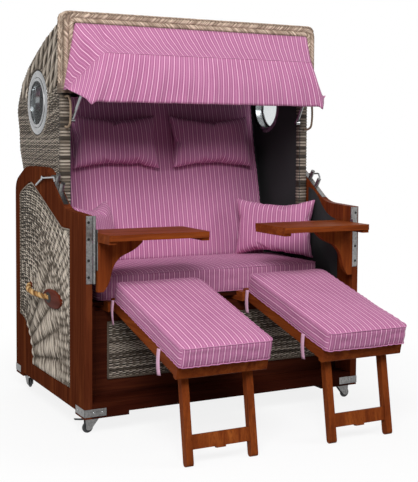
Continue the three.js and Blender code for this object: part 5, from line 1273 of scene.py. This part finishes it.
# Dark boards between the front panel's frame and the cheeks, in near-black wood that paints the shade of that
# gap
BOARD_CORNERS = ((0.5253, 0.1105, 0.1175), (0.5797, 0.1315, 0.4595))
for where, side in SIDES.items():
    low, high = [(side * x, y, z) for x, y, z in BOARD_CORNERS]
    ride(slab(f"panel_cheek_board_{where}", low, high, wood_deep_shaded), "box", "wood")


# Dark cloth on the cheeks' inner faces
CHEEK_INNER = 0.5776
LINING_OUTLINE = [(0.105, 0.478), (0.105, 0.742), (0.122, 0.757), (0.160, 0.766), (0.190, 0.780),
                  (0.222, 0.806), (0.262, 0.850), (0.300, 0.876), (0.334, 0.885), (0.334, 0.478)]
for where, side in SIDES.items():
    outline = resampled(np.array([*LINING_OUTLINE, LINING_OUTLINE[0]]), 0.012)[:-1]
    cloth = domed(f"cheek_lining_{where}", outline, CHEEK_INNER, (0, 0.0005, 0.0014, 0.0019),
                  (0.0012, 0, 0, 0.0012), side, lining)
    ride(cloth, "box", "dark_lining")


# Materials and softened edges of the solids that stay
def dress(name, material, bevel=0.0016):
    piece = nodes[name]
    piece.data.materials[0] = material
    if bevel:
        soft = piece.modifiers.new("soft_edges", "BEVEL")
        soft.width = bevel
        soft.segments = 2
        soft.limit_method = "ANGLE"
        soft.angle_limit = math.radians(40)
        soft.harden_normals = True


for where in SIDES:
    for name, material, bevel in (
        # The left cheek takes the darker copy of the red wood: painted shade.
        ("cheek", wood_left_cheek_shaded if where == "left" else wood_up, 0.0025),
        ("footrest_guide", wood_honey_along, 0.0016),
        ("footrest_frame", wood_honey_along, 0.002),
        ("footrest_legs", wood_honey_up, 0.002),
        ("table_top", wood_honey_across, 0.0022),
        ("table_bracket", wood_honey_up, 0.0018),
        ("recline_rail", zinc, 0.0004),
        ("table_hinge", zinc, 0.0004),
        ("table_leaf", zinc, 0.0004),
        ("lock_lever", polished, 0),
        ("brake_lever", rubber, 0.0006),
        ("caster_fork_front", zinc, 0.0005),
        ("caster_fork_rear", zinc, 0.0005),
        ("caster_wheel_front", rubber, 0.0008),
        ("caster_wheel_rear", rubber, 0.0008),
    ):
        dress(f"{name}_{where}", material, bevel)
# The front rail in the near-black wood: painted shade from the footrests above it.
dress("front_rail", wood_rail_shaded, 0.002)
dress("rear_panel", wood_across, 0.002)
# Seat board and front panel frame in the near-black wood: painted shade under the seat's front.
dress("seat_board", wood_deep_shaded)
dress("front_panel_frame", wood_deep_shaded, 0.002)
dress("back_board", lining)
dress("awning_bow", polished, 0)

# Floor, backdrop and light. The floor is near white where it is seen, and sends little light back up
FLOOR_SEEN, FLOOR_BOUNCE, FLOOR_WHITE_SHARE = 0.95, 0.35, 0.85
WORLD_LIGHT = 0.17
floor_mesh = bpy.data.meshes.new("floor")
floor_mesh.from_pydata([(-9, -9, 0), (9, -9, 0), (9, 9, 0), (-9, 9, 0)], [], [(0, 1, 2, 3)])
floor = bpy.data.objects.new("floor", floor_mesh)
bpy.context.scene.collection.objects.link(floor)


def seen_rays(tree):
    """Rays that come from the camera, and those that come from it by metal or glass as well."""
    rays = node(tree, "ShaderNodeLightPath").outputs
    camera_ray = rays["Is Camera Ray"]
    others = maths(tree, "MAXIMUM", rays["Is Glossy Ray"], rays["Is Transmission Ray"])
    return camera_ray, maths(tree, "MAXIMUM", camera_ray, others)


def floor_material():
    material, tree, shader = surface("floor", Roughness=0.9, Specular_IOR_Level=0)
    camera_ray, seen = seen_rays(tree)
    tone = mixed(tree, camera_ray, (FLOOR_BOUNCE,) * 3, (FLOOR_SEEN,) * 3)
    tree.links.new(tone, shader.inputs["Base Color"])
    place = node(tree, "ShaderNodeTexCoord").outputs["Object"]
    reach = node(tree, "ShaderNodeVectorMath", {0: place}, operation="LENGTH").outputs["Value"]
    share = ranged(tree, reach, 0.8, 2.0, FLOOR_WHITE_SHARE, 1.0, "SMOOTHSTEP")
    white = node(tree, "ShaderNodeEmission", {"Color": (1, 1, 1, 1), "Strength": 1.0}).outputs[0]
    factor = maths(tree, "MULTIPLY", seen, share)
    made = node(tree, "ShaderNodeMixShader", {0: factor, 1: shader.outputs[0], 2: white})
    tree.links.new(made.outputs[0], tree.nodes["Material Output"].inputs["Surface"])
    return material


floor_mesh.materials.append(floor_material())

world = bpy.data.worlds.new("studio")
bpy.context.scene.world = world
world.use_nodes = True
air = world.node_tree
air.nodes.clear()
_, seen = seen_rays(air)
level = maths(air, "ADD", WORLD_LIGHT, maths(air, "MULTIPLY", seen, 1 - WORLD_LIGHT))
sky = node(air, "ShaderNodeBackground", {"Color": (1, 1, 1, 1), "Strength": level})
node(air, "ShaderNodeOutputWorld", {"Surface": sky.outputs[0]})


def lamp(name, spot, aim, size, power):
    data = bpy.data.lights.new(name, "AREA")
    data.size = size
    data.energy = power
    made = bpy.data.objects.new(name, data)
    bpy.context.scene.collection.objects.link(made)
    made.location = spot
    made.rotation_mode = "QUATERNION"
    made.rotation_quaternion = (Vector(aim) - Vector(spot)).to_track_quat("-Z", "Y")


lamp("key", (-2.1, -3.4, 3.5), (0, 0, 0.7), 2.2, 190)
lamp("fill", (3.2, -2.6, 3.1), (0, 0, 0.6), 2.0, 62)
lamp("left", (-4.2, -0.4, 2.0), (0, 0.1, 0.8), 2.6, 30)
lamp("rear", (0.8, 4.2, 2.6), (0, 0.3, 0.9), 2.6, 75)

bpy.context.scene.view_settings.view_transform = "Standard"
